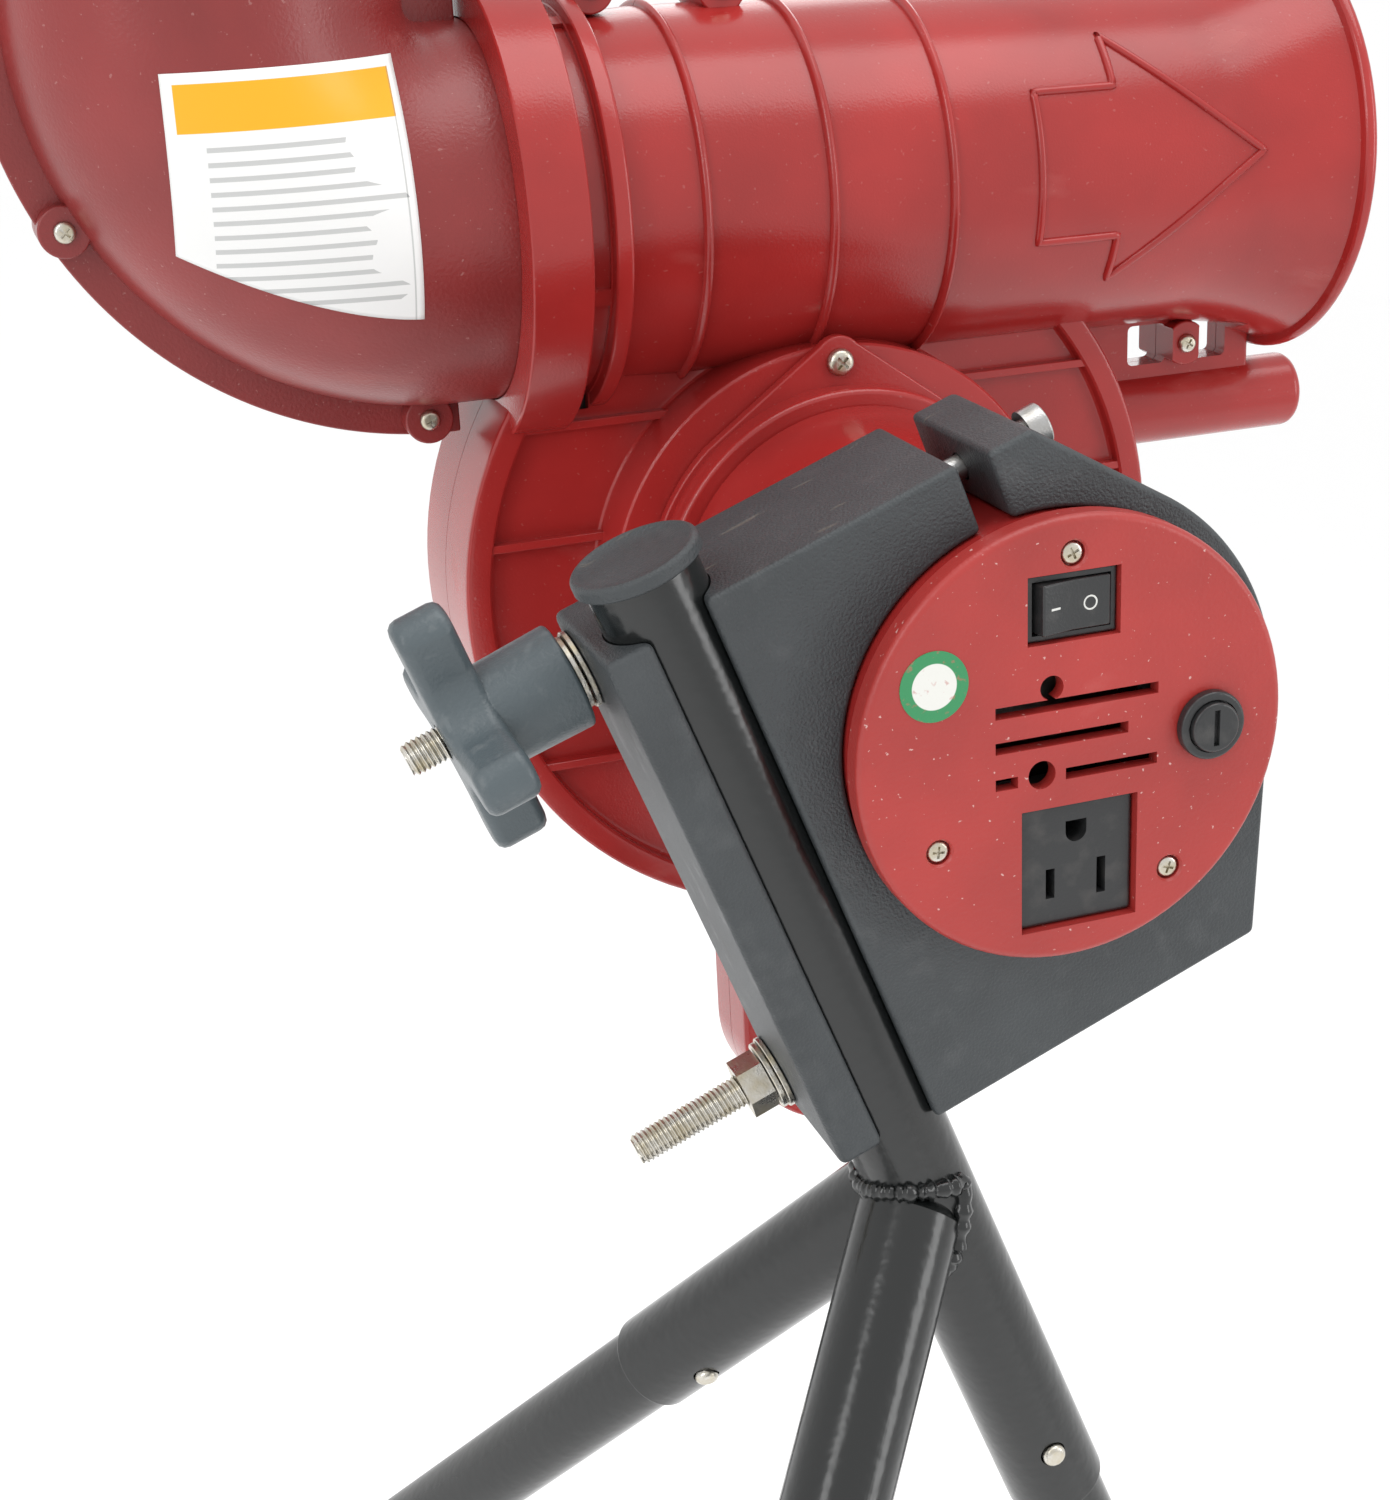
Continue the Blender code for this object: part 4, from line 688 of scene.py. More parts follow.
def moulded_red(name, colour, roughness, flecks, grain, relief, slot="red_plastic"):
    """Satin red moulding: a fine grain, pale flecks, dusty patches and a few rubbed marks."""
    finish = Finish(name, colour, roughness, slot=slot)
    shade = tuple(c * 0.72 for c in colour)
    tone = finish.masked(finish.noise(24, 4), 0.3, 0.75)
    fleck = finish.masked(finish.noise(700, 2), 0.7, 0.74)
    rubbed = finish.masked(finish.noise(38, 9, (0.4, 1, 1)), 0.64, 0.72)
    base = finish.mixed(tone, shade, colour)
    base = finish.mixed(fleck * flecks, base, (0.62, 0.4, 0.37))
    base = finish.mixed(rubbed * 0.22, base, (0.5, 0.16, 0.14))
    finish.set(Base_Color=base, Roughness=roughness + rubbed * 0.12 - tone * 0.05)
    finish.grain(finish.noise(grain, 2), relief)
    return finish


SHELL_RED = moulded_red("shell_red", (0.39, 0.026, 0.024), 0.22, 0.1, 1500, 0.00004)
PANEL_RED = moulded_red("panel_red", (0.42, 0.036, 0.031), 0.38, 0.75, 900, 0.00012, "panel_red")
PANEL_R, PANEL_THICK, PANEL_LIP, CASE_WALL = 0.0517, 0.0058, 0.005, 0.003
VENT_HIGH = 0.0027
VENTS = ((0.0098, -0.0194, 0.0202), (0.0017, -0.0194, 0.0129),
         (-0.0068, -0.0194, -0.014), (-0.0068, -0.0024, 0.0202))
BOSS_HOLES = ((-0.0059, 0.0138, 0.0028), (-0.0082, -0.0061, 0.0033))
BOSS_WALL = 0.0014
SWITCH = (-0.0006, 0.0316, 0.0217, 0.0149)
OUTLET = (0.0012, -0.0291, 0.028, 0.029)
FUSE_X, FUSE_Z, FUSE_R, FUSE_CAP_R, FUSE_STEM_R = 0.0329, -0.0007, 0.008, 0.0058, 0.0048
PANEL_SCREWS = ((-0.0008, 0.0432), (-0.0329, -0.0202), (0.024, -0.0345))
SUNK_HEAD, SUNK_R, SUNK = 0.0026, 0.0014, 0.002
SCREW_R = 0.002


def facing(x, y, z):
    """A turned shape's place on the head, its axis along Y."""
    return HEAD @ shift(x, y, z) @ SHAPE_Y


def round_at(x, z, radius, front, back, edge=0.0, steps=48):
    """A round boss, or the cutter of a hole, along Y."""
    return rod(radius, front, back, edge, steps), facing(x, 0, z)


def box_at(x, z, width, height, front, back):
    return brick((x - width / 2, front, z - height / 2), (x + width / 2, back, z + height / 2))


def cross_screw(node, x, seat, z, length, head_r=0.0036, thick=0.0022, radius=SCREW_R):
    """A pan-head screw whose head faces the panel's side."""
    dome = arc((head_r - thick * 0.8, -thick * 0.2), thick * 0.8, 0, -90, 6)
    shape = [(0, length), (radius, length), (radius, 0), (head_r, 0), *dome, (0, -thick)]
    half, wide = head_r * 0.55, head_r * 0.11
    place = facing(x, seat, z) @ Matrix.Rotation(4000 * x + 2500 * z, 4, "Z")    # each left at its own turn
    blades = [(brick((-a, -b, -thick - 0.001), (a, b, -thick * 0.3)), place)
              for a, b in ((half, wide), (wide, half))]
    piece(f"{node}_cross", turned(shape, 48), place, ZINC, "head", [node], cut=blades)


def make_panel():
    inner, lip, lip_end = CASE_R - CASE_WALL - FIT, CASE_R - 2 * CASE_WALL, PANEL_THICK + PANEL_LIP
    back = PANEL_THICK - 0.0022
    through = (-PAST, 0.03)
    front = [(0, 0), *arc((PANEL_R - 0.0018, 0.0018), 0.0018, -90, 0, 8), (PANEL_R, PANEL_THICK),
             (inner, PANEL_THICK), (inner, lip_end), (lip, lip_end), (lip, back), (0, back)]
    bosses = [round_at(x, z, radius + BOSS_WALL, 0.0002, PANEL_THICK - 0.0026) for x, z, radius in BOSS_HOLES]
    taken = [(box_at((left + right) / 2, z, right - left, VENT_HIGH, *through), HEAD)
             for z, left, right in VENTS]
    taken += [round_at(x, z, radius, *through) for x, z, radius in BOSS_HOLES]
    taken += [(box_at(x, z, width + 2 * FIT, height + 2 * FIT, *through), HEAD)
              for x, z, width, height in (SWITCH, OUTLET)]
    taken.append(round_at(FUSE_X, FUSE_Z, FUSE_STEM_R + SLIDE, *through))
    wide, bed, shank = SUNK_HEAD + 0.001, SUNK_HEAD + FIT, SUNK_R + FIT
    for x, z in PANEL_SCREWS:
        hole = [(0, -PAST), (wide, -PAST), (wide, -0.0003), (bed, 0.0006), (bed, SUNK), (shank, SUNK),
                (shank, through[1]), (0, through[1])]
        taken.append((turned(hole, 48), facing(x, 0, z)))
    piece("panel_moulding", turned(front), facing(0, 0, 0), PANEL_RED, "head", ["end_panel"], bosses, taken,
          sharp=30)
    for i, (x, z) in enumerate(PANEL_SCREWS):
        cross_screw(f"panel_screw_{i + 1}", x, SUNK - FIT, z, 0.008, SUNK_HEAD, 0.0012, SUNK_R)


DOT_X, DOT_Z, DOT_R = -0.0337, 0.0185, 0.008


def make_dot():
    finish = Finish("dot_print", (0.72, 0.72, 0.68), 0.4, slot="panel_red")
    out = finish.node("VectorMath", {"operation": "LENGTH"}, "Value", _0=finish.place)
    ring = finish.masked(out, DOT_R * 0.64, DOT_R * 0.66)
    worn = finish.masked(finish.noise(500, 4), 0.6, 0.68)
    base = finish.mixed(ring, (0.7, 0.7, 0.66), (0.03, 0.24, 0.09))
    finish.set(Base_Color=finish.mixed(worn * 0.5, base, (0.45, 0.1, 0.09)))
    piece("round_sticker", rod(DOT_R, -0.00018, 0.0001, 0.00006, 64), facing(DOT_X, 0, DOT_Z), finish, "head")


make_panel()
make_dot()

# ---------------- switch, outlet and fuse
# Bought-in black fittings snapped into the panel: a rocker switch with a bar and a ring marked on
# it, a three-blade outlet and a fuse holder whose cap turns with a coin.


def smooth_black(colour, roughness):
    finish = Finish("fitting_black", colour, roughness, slot="black_plastic")
    dusty = finish.masked(finish.noise(180, 5), 0.52, 0.72)
    finish.set(Base_Color=finish.mixed(dusty * 0.4, colour, (0.075, 0.07, 0.066)),
               Roughness=roughness + dusty * 0.15)
    finish.grain(finish.noise(1600, 2), 0.00006)
    return finish


FITTING_BLACK = smooth_black((0.022, 0.023, 0.024), 0.3)
MARK_WHITE = Finish("mark_white", (0.65, 0.65, 0.62), 0.5, slot="black_plastic")
MARK_WHITE.set(Roughness=0.45 + MARK_WHITE.noise(900) * 0.15)
SINK, RAIL, WELL_FLOOR, MARK_IN = 0.0015, 0.0014, 0.011, 0.0002
ROCKER_INSET, ROCKER_TIP, ROCKER_LOW, ROCKER_HIGH = 0.0017, math.radians(12), 0.0054, 0.0072
ROCKER_PIVOT_Y = 0.0062
BLADE_SPACING, GROUND_WIDTH = 0.0127, 0.0052


def make_switch():
    x, z, width, height = SWITCH
    body = box_at(x, z, width, height, SINK, 0.018)
    well = box_at(x, z, width - 2 * RAIL, height - 2 * RAIL, -PAST, WELL_FLOOR)
    piece("switch_bezel", body, HEAD, FITTING_BLACK, "head", ["switch_body"], cut=[(well, HEAD)], edge=0.0005)
    half = width / 2 - ROCKER_INSET
    high_end = (half - ROCKER_HIGH * math.sin(ROCKER_TIP)) / math.cos(ROCKER_TIP)
    slope = half * math.tan(ROCKER_TIP / 2)
    wedge = [(half, -0.0015), (half, ROCKER_LOW), (0, ROCKER_LOW + 0.0001), (-high_end, ROCKER_HIGH),
             (-half, slope), (-half, -0.0015), (0, -0.0035)]
    pivot = HEAD @ shift(x, ROCKER_PIVOT_Y, z) @ Matrix.Rotation(math.radians(90), 4, "X")
    side = height / 2 - ROCKER_INSET
    piece("rocker_key", slab(wedge, -side, side), pivot, FITTING_BLACK, "rocker", ["switch_rocker"],
          edge=0.0005)
    slant = math.atan((ROCKER_HIGH - ROCKER_LOW) / high_end)
    bar = brick((-0.0012, -0.00024, -MARK_IN), (0.0012, 0.00024, MARK_IN / 2))
    bar_x, ring_x = -0.0046, 0.0042
    on_slope = shift(bar_x, 0, ROCKER_LOW - bar_x * math.tan(slant)) @ Matrix.Rotation(slant, 4, "Y")
    piece("rocker_bar_mark", bar, pivot @ on_slope, MARK_WHITE, "rocker")
    ring = pipe(0.0017, 0.0013, ROCKER_LOW - MARK_IN, ROCKER_LOW + MARK_IN / 2, 0.00005, 40)
    piece("rocker_ring_mark", ring, pivot @ shift(ring_x, 0, 0), MARK_WHITE, "rocker")


def make_outlet():
    x, z, width, height = OUTLET
    body = box_at(x, z, width, height, SINK + 0.0004, 0.02)
    deep = (-PAST, 0.014)
    taken = [(box_at(x + side * BLADE_SPACING / 2, z - 0.0045, 0.0022, tall, *deep), HEAD)
             for side, tall in ((-1, 0.0072), (1, 0.0088))]
    half = GROUND_WIDTH / 2
    ground = [(x + half, z + 0.01), (x - half, z + 0.01), *arc((x, z + 0.0074), half, -180, 0, 24)]
    taken.append((slab(ground, *deep), HEAD))
    piece("outlet_face", body, HEAD, FITTING_BLACK, "head", ["power_outlet"], cut=taken, edge=0.0009)


def make_fuse():
    well, mouth = FUSE_STEM_R - 0.0012, FUSE_CAP_R + SLIDE
    seat, floor_y, end = -0.001, 0.0006, 0.024
    holder = [(mouth, -0.0026), *arc((FUSE_R - 0.0008, -0.0018), 0.0008, -90, 0, 5), (FUSE_R, -FIT),
              (FUSE_STEM_R, -FIT), (FUSE_STEM_R, end), (0, end), (0, floor_y), (well, floor_y), (well, seat),
              (mouth, seat)]
    place = facing(FUSE_X, 0, FUSE_Z)
    piece("fuse_socket", turned(holder, 72), place, FITTING_BLACK, "head", ["fuse_holder"])
    plug = well - SLIDE
    cap = [(0, -0.004), *arc((FUSE_CAP_R - 0.0007, -0.0033), 0.0007, -90, 0, 5), (FUSE_CAP_R, seat - FIT),
           (plug, seat - FIT), (plug, floor_y - FIT), (0, floor_y - FIT)]
    slot = box_at(FUSE_X, FUSE_Z, 0.0014, 0.0084, -PAST, -0.0028)
    piece("fuse_coin_cap", turned(cap, 72), place, FITTING_BLACK, "fuse_cap", ["fuse_cap"],
          cut=[(slot, HEAD)])


make_switch()
make_outlet()
make_fuse()

# ---------------- motor housing and wheel
# A red tube over the motor, closed at the drum's side by a dished cover with three screw ears.
# The motor's shaft carries an alloy wheel with a rubber tyre that throws the ball.
COVER_FRONT, COVER_DISH_R, COVER_DISH, COVER_PLATE = 0.126, 0.054, 0.007, 0.0035
COVER_BACK = COVER_FRONT + COVER_DISH + COVER_PLATE
EAR_RING, EAR_R, EAR_ANGLES = 0.06, 0.0068, (90, 210, 330)
SHAFT_HOLE_R, SHAFT_R = 0.009, 0.005
WHEEL_Y, WHEEL_R, TYRE_THICK, TYRE_EDGE, WHEEL_WIDTH = 0.174, 0.085, 0.016, 0.003, 0.03
EARS = [(EAR_RING * math.cos(math.radians(a)), EAR_RING * math.sin(math.radians(a))) for a in EAR_ANGLES]
ALLOY = plated("hub_metal", (0.6, 0.6, 0.61), (0.52, 0.52, 0.52), 0.34)
TYRE_RUBBER = rubber("tyre_rubber", (0.026, 0.026, 0.026), 0.78)


def cover_outline():
    """A triangle with round corners: an arc about each ear, joined round the dish."""
    points = []
    for angle, centre in zip(EAR_ANGLES, EARS):
        points += arc(centre, EAR_R, angle - 48, angle + 48, 20)
        points += arc((0, 0), COVER_DISH_R + 0.0015, angle + 42, angle + 78, 16)
    return points


def make_housing():
    middle = facing(0, 0, 0)
    tube = pipe(CASE_R, CASE_R - CASE_WALL, PANEL_THICK + FIT, COVER_FRONT - FIT, 0.0006)
    piece("motor_tube", tube, middle, SHELL_RED, "head", ["motor_case"])
    plate_in = COVER_FRONT + COVER_DISH + 0.001
    dish = [(0, COVER_FRONT), *arc((COVER_DISH_R - 0.0016, COVER_FRONT + 0.0016), 0.0016, -90, 0, 6),
            (COVER_DISH_R, plate_in), (0, plate_in)]
    holes = [round_at(0, 0, SHAFT_HOLE_R, 0.1, 0.16, steps=96)]
    holes += [round_at(x, z, SCREW_R + FIT, 0.1, 0.16, steps=32) for x, z in EARS]
    plate = slab(cover_outline(), COVER_BACK - COVER_PLATE, COVER_BACK)
    piece("dished_cover", turned(dish), middle, SHELL_RED, "head", ["motor_cover"],
          [(plate, HEAD, 0.0007)], holes)
    for i, (x, z) in enumerate(EARS):
        cross_screw(f"cover_screw_{i + 1}", x, COVER_BACK - COVER_PLATE - FIT, z, 0.012)


def make_wheel():
    half, bore, rim = WHEEL_WIDTH / 2, SHAFT_R + SLIDE, WHEEL_R - TYRE_THICK
    place = facing(0, WHEEL_Y, 0)
    boss, web, felloe = bore + 0.009, 0.004, rim - 0.006
    hub = [(bore, -half), (boss, -half), (boss, -web), (felloe, -web), (felloe, -half), (rim, -half),
           (rim, half), (felloe, half), (felloe, web), (boss, web), (boss, half - web), (bore, half - web)]
    piece("alloy_wheel", turned(hub), place, ALLOY, "wheel", ["wheel_hub"])
    shoulder, side = WHEEL_R - TYRE_EDGE, half - TYRE_EDGE
    tyre = [(rim + FIT, -half), *arc((shoulder, -side), TYRE_EDGE, -90, 0, 8),
            *arc((shoulder, side), TYRE_EDGE, 0, 90, 8), (rim + FIT, half)]
    piece("throwing_tyre", turned(tyre), place, TYRE_RUBBER, "wheel", ["wheel_tyre"])
    for node, finish in (("motor", STEEL), ("motor_shaft", STEEL), ("wheel_nut", ZINC)):
        for slot in frame["nodes"][node].material_slots:
            slot.material = finish.material


make_housing()
make_wheel()

# ---------------- body shells
# Two red mouldings, a mirrored pair but for the motor's opening, drawn together by four screws:
# the wheel's drum with its recessed, ribbed faces, a hollow tongue below, the belled barrel with
# three fine ribs and a slotted collar, and the handle on its windowed web.
DRUM_R, DRUM_HALF, DRUM_WALL, RIM_WIDTH, FACE_STEP, PLINTH_R = 0.1, 0.024, 0.0028, 0.007, 0.004, 0.064
LOBE_X, LOBE_Z, LOBE_R, LOBE_HALF = 0.008, -0.148, 0.033, 0.013
BARREL_Z, BARREL_R, BORE_R, BARREL_REAR, MUZZLE = 0.101, 0.048, 0.045, -0.062, 0.149
BELL_FROM, BELL_TO, BELL_R, RIM_R = 0.109, 0.145, 0.056, 0.059
COLLAR_FRONT, COLLAR_REAR, COLLAR_R, NECK_R, RING_BAND = -0.069, -0.0845, 0.0588, 0.05, 0.0036
RIBS, RIB_HEIGHT, RIB_WIDTH = (-0.0365, -0.0028, 0.0302), 0.0017, 0.0026
HANDLE_Z, HANDLE_R, HANDLE_END, WEB_THICK = 0.027, 0.0108, 0.16, 0.01
WINDOWS, WINDOW_LOW, WINDOW_HIGH = ((0.104, 0.116), (0.1245, 0.136)), 0.0405, 0.052
BOSS_R, BOSS_EDGE, ELBOW_TUBE_R, SPIGOT_END, LIP_EDGE = 0.0064, 0.0006, 0.048, -0.07, 0.002
SMALL_HEAD_R, SMALL_HEAD = 0.0027, 0.0014
SEAM = FIT / 2


def eased(outline, width, steps=3):
    """The outline with each corner rounded off, but for those on the axis and slight bends."""
    points = []
    for i, point in enumerate(outline):
        here, before, after = Vector(point), Vector(outline[i - 1]), Vector(outline[(i + 1) % len(outline)])
        back, ahead = before - here, after - here
        if abs(here.x) < 1e-9 or back.angle(ahead) > math.radians(160):
            points.append(tuple(here))
            continue
        reach = min(width, back.length * 0.45, ahead.length * 0.45)
        start, end = here + back.normalized() * reach, here + ahead.normalized() * reach
        for k in range(steps + 1):
            t = k / steps
            points.append(tuple(start * (1 - t) ** 2 + here * 2 * t * (1 - t) + end * t * t))
    return points


def drum_profile():
    near = WHEEL_Y - DRUM_HALF
    face, far = near + FACE_STEP, WHEEL_Y + DRUM_HALF - FACE_STEP
    mouth, front, rim, inner = 0.014, COVER_BACK + FIT, DRUM_R - RIM_WIDTH, DRUM_R - DRUM_WALL
    back, raised, wall_in, wall_out = far + FACE_STEP, far + 0.002, face + DRUM_WALL, far - DRUM_WALL
    outside = [(mouth, front), (PLINTH_R, front), (PLINTH_R, face), (rim, face), (rim, near), (DRUM_R, near),
               (DRUM_R, back), (rim, back), (rim, far), (PLINTH_R, far), (PLINTH_R, raised), (0, raised)]
    inside = [(0, wall_out), (inner, wall_out), (inner, wall_in), (mouth, wall_in)]
    return eased(outside + inside, 0.0016)


def bell(t, radius, wider):
    return radius + wider * t * t


def flared(radius, wider, end, steps=12):
    """The profile's points along the bell, from where it opens to end."""
    return [(bell(k / steps, radius, wider), BELL_FROM + (end - BELL_FROM) * k / steps)
            for k in range(steps + 1)]


def barrel_profile():
    band = NECK_R + RING_BAND
    outside = eased([(0, COLLAR_REAR), (COLLAR_R, COLLAR_REAR), (COLLAR_R, COLLAR_FRONT),
                     (NECK_R, COLLAR_FRONT), (NECK_R, BARREL_REAR), (band, BARREL_REAR),
                     (band, BARREL_REAR + 0.0045),
                     (BARREL_R, BARREL_REAR + 0.006)], 0.001)
    for place in RIBS:
        turns = [math.pi * k / 8 for k in range(9)]
        outside += [(BARREL_R, place - RIB_WIDTH * 0.7)]
        outside += [(BARREL_R + RIB_HEIGHT * math.sin(a), place - RIB_WIDTH / 2 * math.cos(a)) for a in turns]
        outside += [(BARREL_R, place + RIB_WIDTH * 0.7)]
    outside += flared(BARREL_R, BELL_R - BARREL_R, BELL_TO)
    return outside + [*arc((RIM_R - LIP_EDGE, MUZZLE - LIP_EDGE), LIP_EDGE, -60, 90, 12), (0, MUZZLE)]


def bore_profile():
    seat, step, rear = ELBOW_TUBE_R + SLIDE, SPIGOT_END + FIT, COLLAR_REAR - PAST
    inside = [(0, rear), (seat, rear), (seat, step), (BORE_R, step), *flared(BORE_R, 0.009, MUZZLE - 0.003)]
    lip = [(BORE_R + 0.0092, MUZZLE - LIP_EDGE), (BORE_R + 0.0104, MUZZLE - 0.0003),
           (BORE_R + 0.0118, MUZZLE + PAST)]
    return inside + lip + [(0, MUZZLE + PAST)]


def tongue(radius, top):
    return arc((LOBE_X, LOBE_Z), radius, -180, 0, 48) + [(LOBE_X + radius, top), (LOBE_X - radius, top)]


def side_ribs():
    """The straight ribs across a side face: (z, from x, to x), ended inside the rim and the plinth."""
    ribs = []
    for z in (0.0475, 0.017, -0.046):
        reach = math.sqrt((DRUM_R - RIM_WIDTH / 2) ** 2 - z * z)
        inner = math.sqrt((PLINTH_R - 0.002) ** 2 - z * z)
        ribs += [(z, -reach, -inner), (z, inner, reach)]
    return ribs


SCREW_TOP = BARREL_Z + BARREL_R + 0.0035
SHELL_SCREWS = ((-0.052, SCREW_TOP + 0.002, 0.01), (-0.017, SCREW_TOP, 0.01), (0.1203, 0.0465, 0.01),
                (LOBE_X, LOBE_Z - 0.018, LOBE_HALF + 0.001))


def ring_sector(inner, outer, low, high, start, end):
    outline = arc((0, 0), outer, start, end, 40) + arc((0, 0), inner, end, start, 40)
    mesh = slab(outline, low, high)
    bmesh.ops.rotate(mesh, verts=mesh.verts, cent=(0, 0, 0), matrix=Matrix.Rotation(math.radians(90), 3, "X"))
    bmesh.ops.scale(mesh, verts=mesh.verts, vec=(1, -1, 1))
    bmesh.ops.recalc_face_normals(mesh, faces=mesh.faces)
    return mesh


def beyond_seam(near, low, high):
    """All that lies past the parting line of one half."""
    front, back = (WHEEL_Y - SEAM, WHEEL_Y + 0.2) if near else (WHEEL_Y - 0.2, WHEEL_Y + SEAM)
    return brick((low, front, -0.4), (high, back, 0.5)), HEAD


def screw_set(name, places):
    """Small screws down the seam: (x, z, the boss's half width, the screw's length)."""
    for i, (x, z, half, length) in enumerate(places):
        cross_screw(f"{name}_{i + 1}", x, WHEEL_Y - half - FIT, z, length, SMALL_HEAD_R, SMALL_HEAD)


def make_shell(tag, near):
    along = HEAD @ shift(0, WHEEL_Y, BARREL_Z) @ SHAPE_X
    side = WHEEL_Y - DRUM_HALF if near else WHEEL_Y + DRUM_HALF
    inward = 1 if near else -1
    half_web, lobe = WEB_THICK / 2, (WHEEL_Y - LOBE_HALF, WHEEL_Y + LOBE_HALF)
    web = brick((0.08, WHEEL_Y - half_web, HANDLE_Z), (0.144, WHEEL_Y + half_web, BARREL_Z - BORE_R - 0.0015))
    handle = rod(HANDLE_R, 0.096, HANDLE_END, 0.003)
    joined = [(turned(barrel_profile()), along), (slab(tongue(LOBE_R, -0.08), *lobe), HEAD, 0.0016),
              (handle, HEAD @ shift(0, WHEEL_Y, HANDLE_Z) @ SHAPE_X), (web, HEAD, 0.0012)]
    for z, left, right in side_ribs():
        ends = sorted((side + inward * 0.0008, side + inward * (FACE_STEP + 0.001)))
        joined.append((brick((left, ends[0], z - 0.0011), (right, ends[1], z + 0.0011)), HEAD, 0.0003))
    joined += [round_at(x, z, BOSS_R, WHEEL_Y - half, WHEEL_Y + half, BOSS_EDGE)
               for x, z, half in SHELL_SCREWS]
    grip = WHEEL_WIDTH / 2 + 0.0018
    hollow = slab(tongue(LOBE_R - DRUM_WALL, -0.09), lobe[0] + DRUM_WALL, lobe[1] - DRUM_WALL)
    taken = [(turned(bore_profile()), along), (hollow, HEAD),
             round_at(0, 0, WHEEL_R + 0.0035, WHEEL_Y - grip, WHEEL_Y + grip, steps=96)]
    taken += [(brick((left, WHEEL_Y - 0.05, WINDOW_LOW), (right, WHEEL_Y + 0.05, WINDOW_HIGH)), HEAD, 0.0015)
              for left, right in WINDOWS]
    gap = (NECK_R - 0.0012, NECK_R + 0.004, COLLAR_FRONT + 0.0022, BARREL_REAR - 0.0004)
    taken += [(ring_sector(*gap, angle + 2.5, angle + 87.5), along) for angle in (20, 110, 200, 290)]
    taken += [round_at(x, z, SCREW_R + FIT, WHEEL_Y - half - 0.001, WHEEL_Y + half - 0.002, steps=32)
              for x, z, half in SHELL_SCREWS]
    if near:
        taken += [round_at(x, z, SCREW_R + FIT, COVER_BACK - PAST, COVER_BACK + 0.0105, steps=32)
                  for x, z in EARS]
    taken.append(beyond_seam(near, -0.4, 0.4))
    piece(f"{tag}_body_half", turned(drum_profile(), 128), facing(0, 0, 0), SHELL_RED, "head",
          [f"{tag}_shell"], joined, taken, sharp=28)


def make_shells():
    for tag in ("near", "far"):
        make_shell(tag, tag == "near")
    screw_set("shell_screw", [(x, z, half, 2 * half - 0.0035) for x, z, half in SHELL_SCREWS])


ARROW_MIDDLE, ARROW_BEAD = 0.105, 0.0011
ARROW = ((0.055, -0.019), (0.078, -0.019), (0.078, -0.031), (0.12, 0),
         (0.078, 0.031), (0.078, 0.019), (0.055, 0.019))


def make_arrow():
    """A raised outline on the barrel's side that points the way the ball leaves."""
    path = []
    for (x0, z0), (x1, z1) in zip(ARROW, ARROW[1:] + ARROW[:1]):
        steps = max(int(math.hypot(x1 - x0, z1 - z0) / 0.0008), 2)
        for k in range(steps):
            x, z = x0 + (x1 - x0) * k / steps, ARROW_MIDDLE + z0 + (z1 - z0) * k / steps
            t = max(x - BELL_FROM, 0) / (BELL_TO - BELL_FROM)
            radius = bell(t, BARREL_R, BELL_R - BARREL_R)
            path.append(Vector((x, WHEEL_Y - math.sqrt(radius ** 2 - (z - BARREL_Z) ** 2), z)))
    piece("barrel_arrow", swept(path, lambda t: ARROW_BEAD), HEAD, SHELL_RED, "head", sharp=60)


make_shells()
make_arrow()

# ---------------- feed elbow
# Two darker red mouldings with a flange along the parting line, four screws through bosses, and a
# spigot that plugs into the barrel's collar. A plain banded label is stuck on the bend.
ELBOW_TURN_X, ELBOW_R, ELBOW_BORE_R, ELBOW_TOP = -0.095, 0.052, 0.045, 0.215
FLANGE_HEIGHT, FLANGE_HALF, FLANGE_START = 0.008, 0.0035, -0.093
MOUTH_R, MOUTH_BAND, ELBOW_BOSS = 0.053, 0.006, 0.009
ELBOW_Z = BARREL_Z + ELBOW_R
RISER_X = ELBOW_TURN_X - ELBOW_R
ELBOW_RED = moulded_red("elbow_red", (0.275, 0.03, 0.029), 0.34, 0.2, 1100, 0.0001)


def elbow_bar(radius, rear, top, steps=48, sides=96):
    """A round bar: along the barrel's axis, round the bend, then straight up to top."""
    mesh = bmesh.new()
    rings = []
    for i in range(-1, steps + 2):
        tilt = math.radians(90 * min(max(i, 0), steps) / steps)
        centre = Vector((ELBOW_TURN_X - ELBOW_R * math.sin(tilt), 0, ELBOW_Z - ELBOW_R * math.cos(tilt)))
        if i < 0:
            centre.x = rear
        elif i > steps:
            centre.z = top
        outward = Vector((-math.sin(tilt), 0, -math.cos(tilt)))
        side = Vector((0, radius, 0))
        rings.append([mesh.verts.new(centre + outward * radius * math.cos(a) + side * math.sin(a))
                      for a in (2 * math.pi * (k + 0.5) / sides for k in range(sides))])
    skinned(mesh, rings)
    mesh.faces.new(rings[0])
    mesh.faces.new(rings[-1][::-1])
    bmesh.ops.recalc_face_normals(mesh, faces=mesh.faces)
    return mesh


def flange_outline():
    """Along the belly, round the bend and up the back."""
    outer, inner = ELBOW_R + ELBOW_TUBE_R + FLANGE_HEIGHT, ELBOW_R + ELBOW_TUBE_R - 0.002
    centre, back = (ELBOW_TURN_X, ELBOW_Z), ELBOW_TOP - MOUTH_BAND
    return [(FLANGE_START, centre[1] - outer), *arc(centre, outer, -90, -180, 60), (centre[0] - outer, back),
            (centre[0] - inner, back), *arc(centre, inner, -180, -90, 60), (FLANGE_START, centre[1] - inner)]


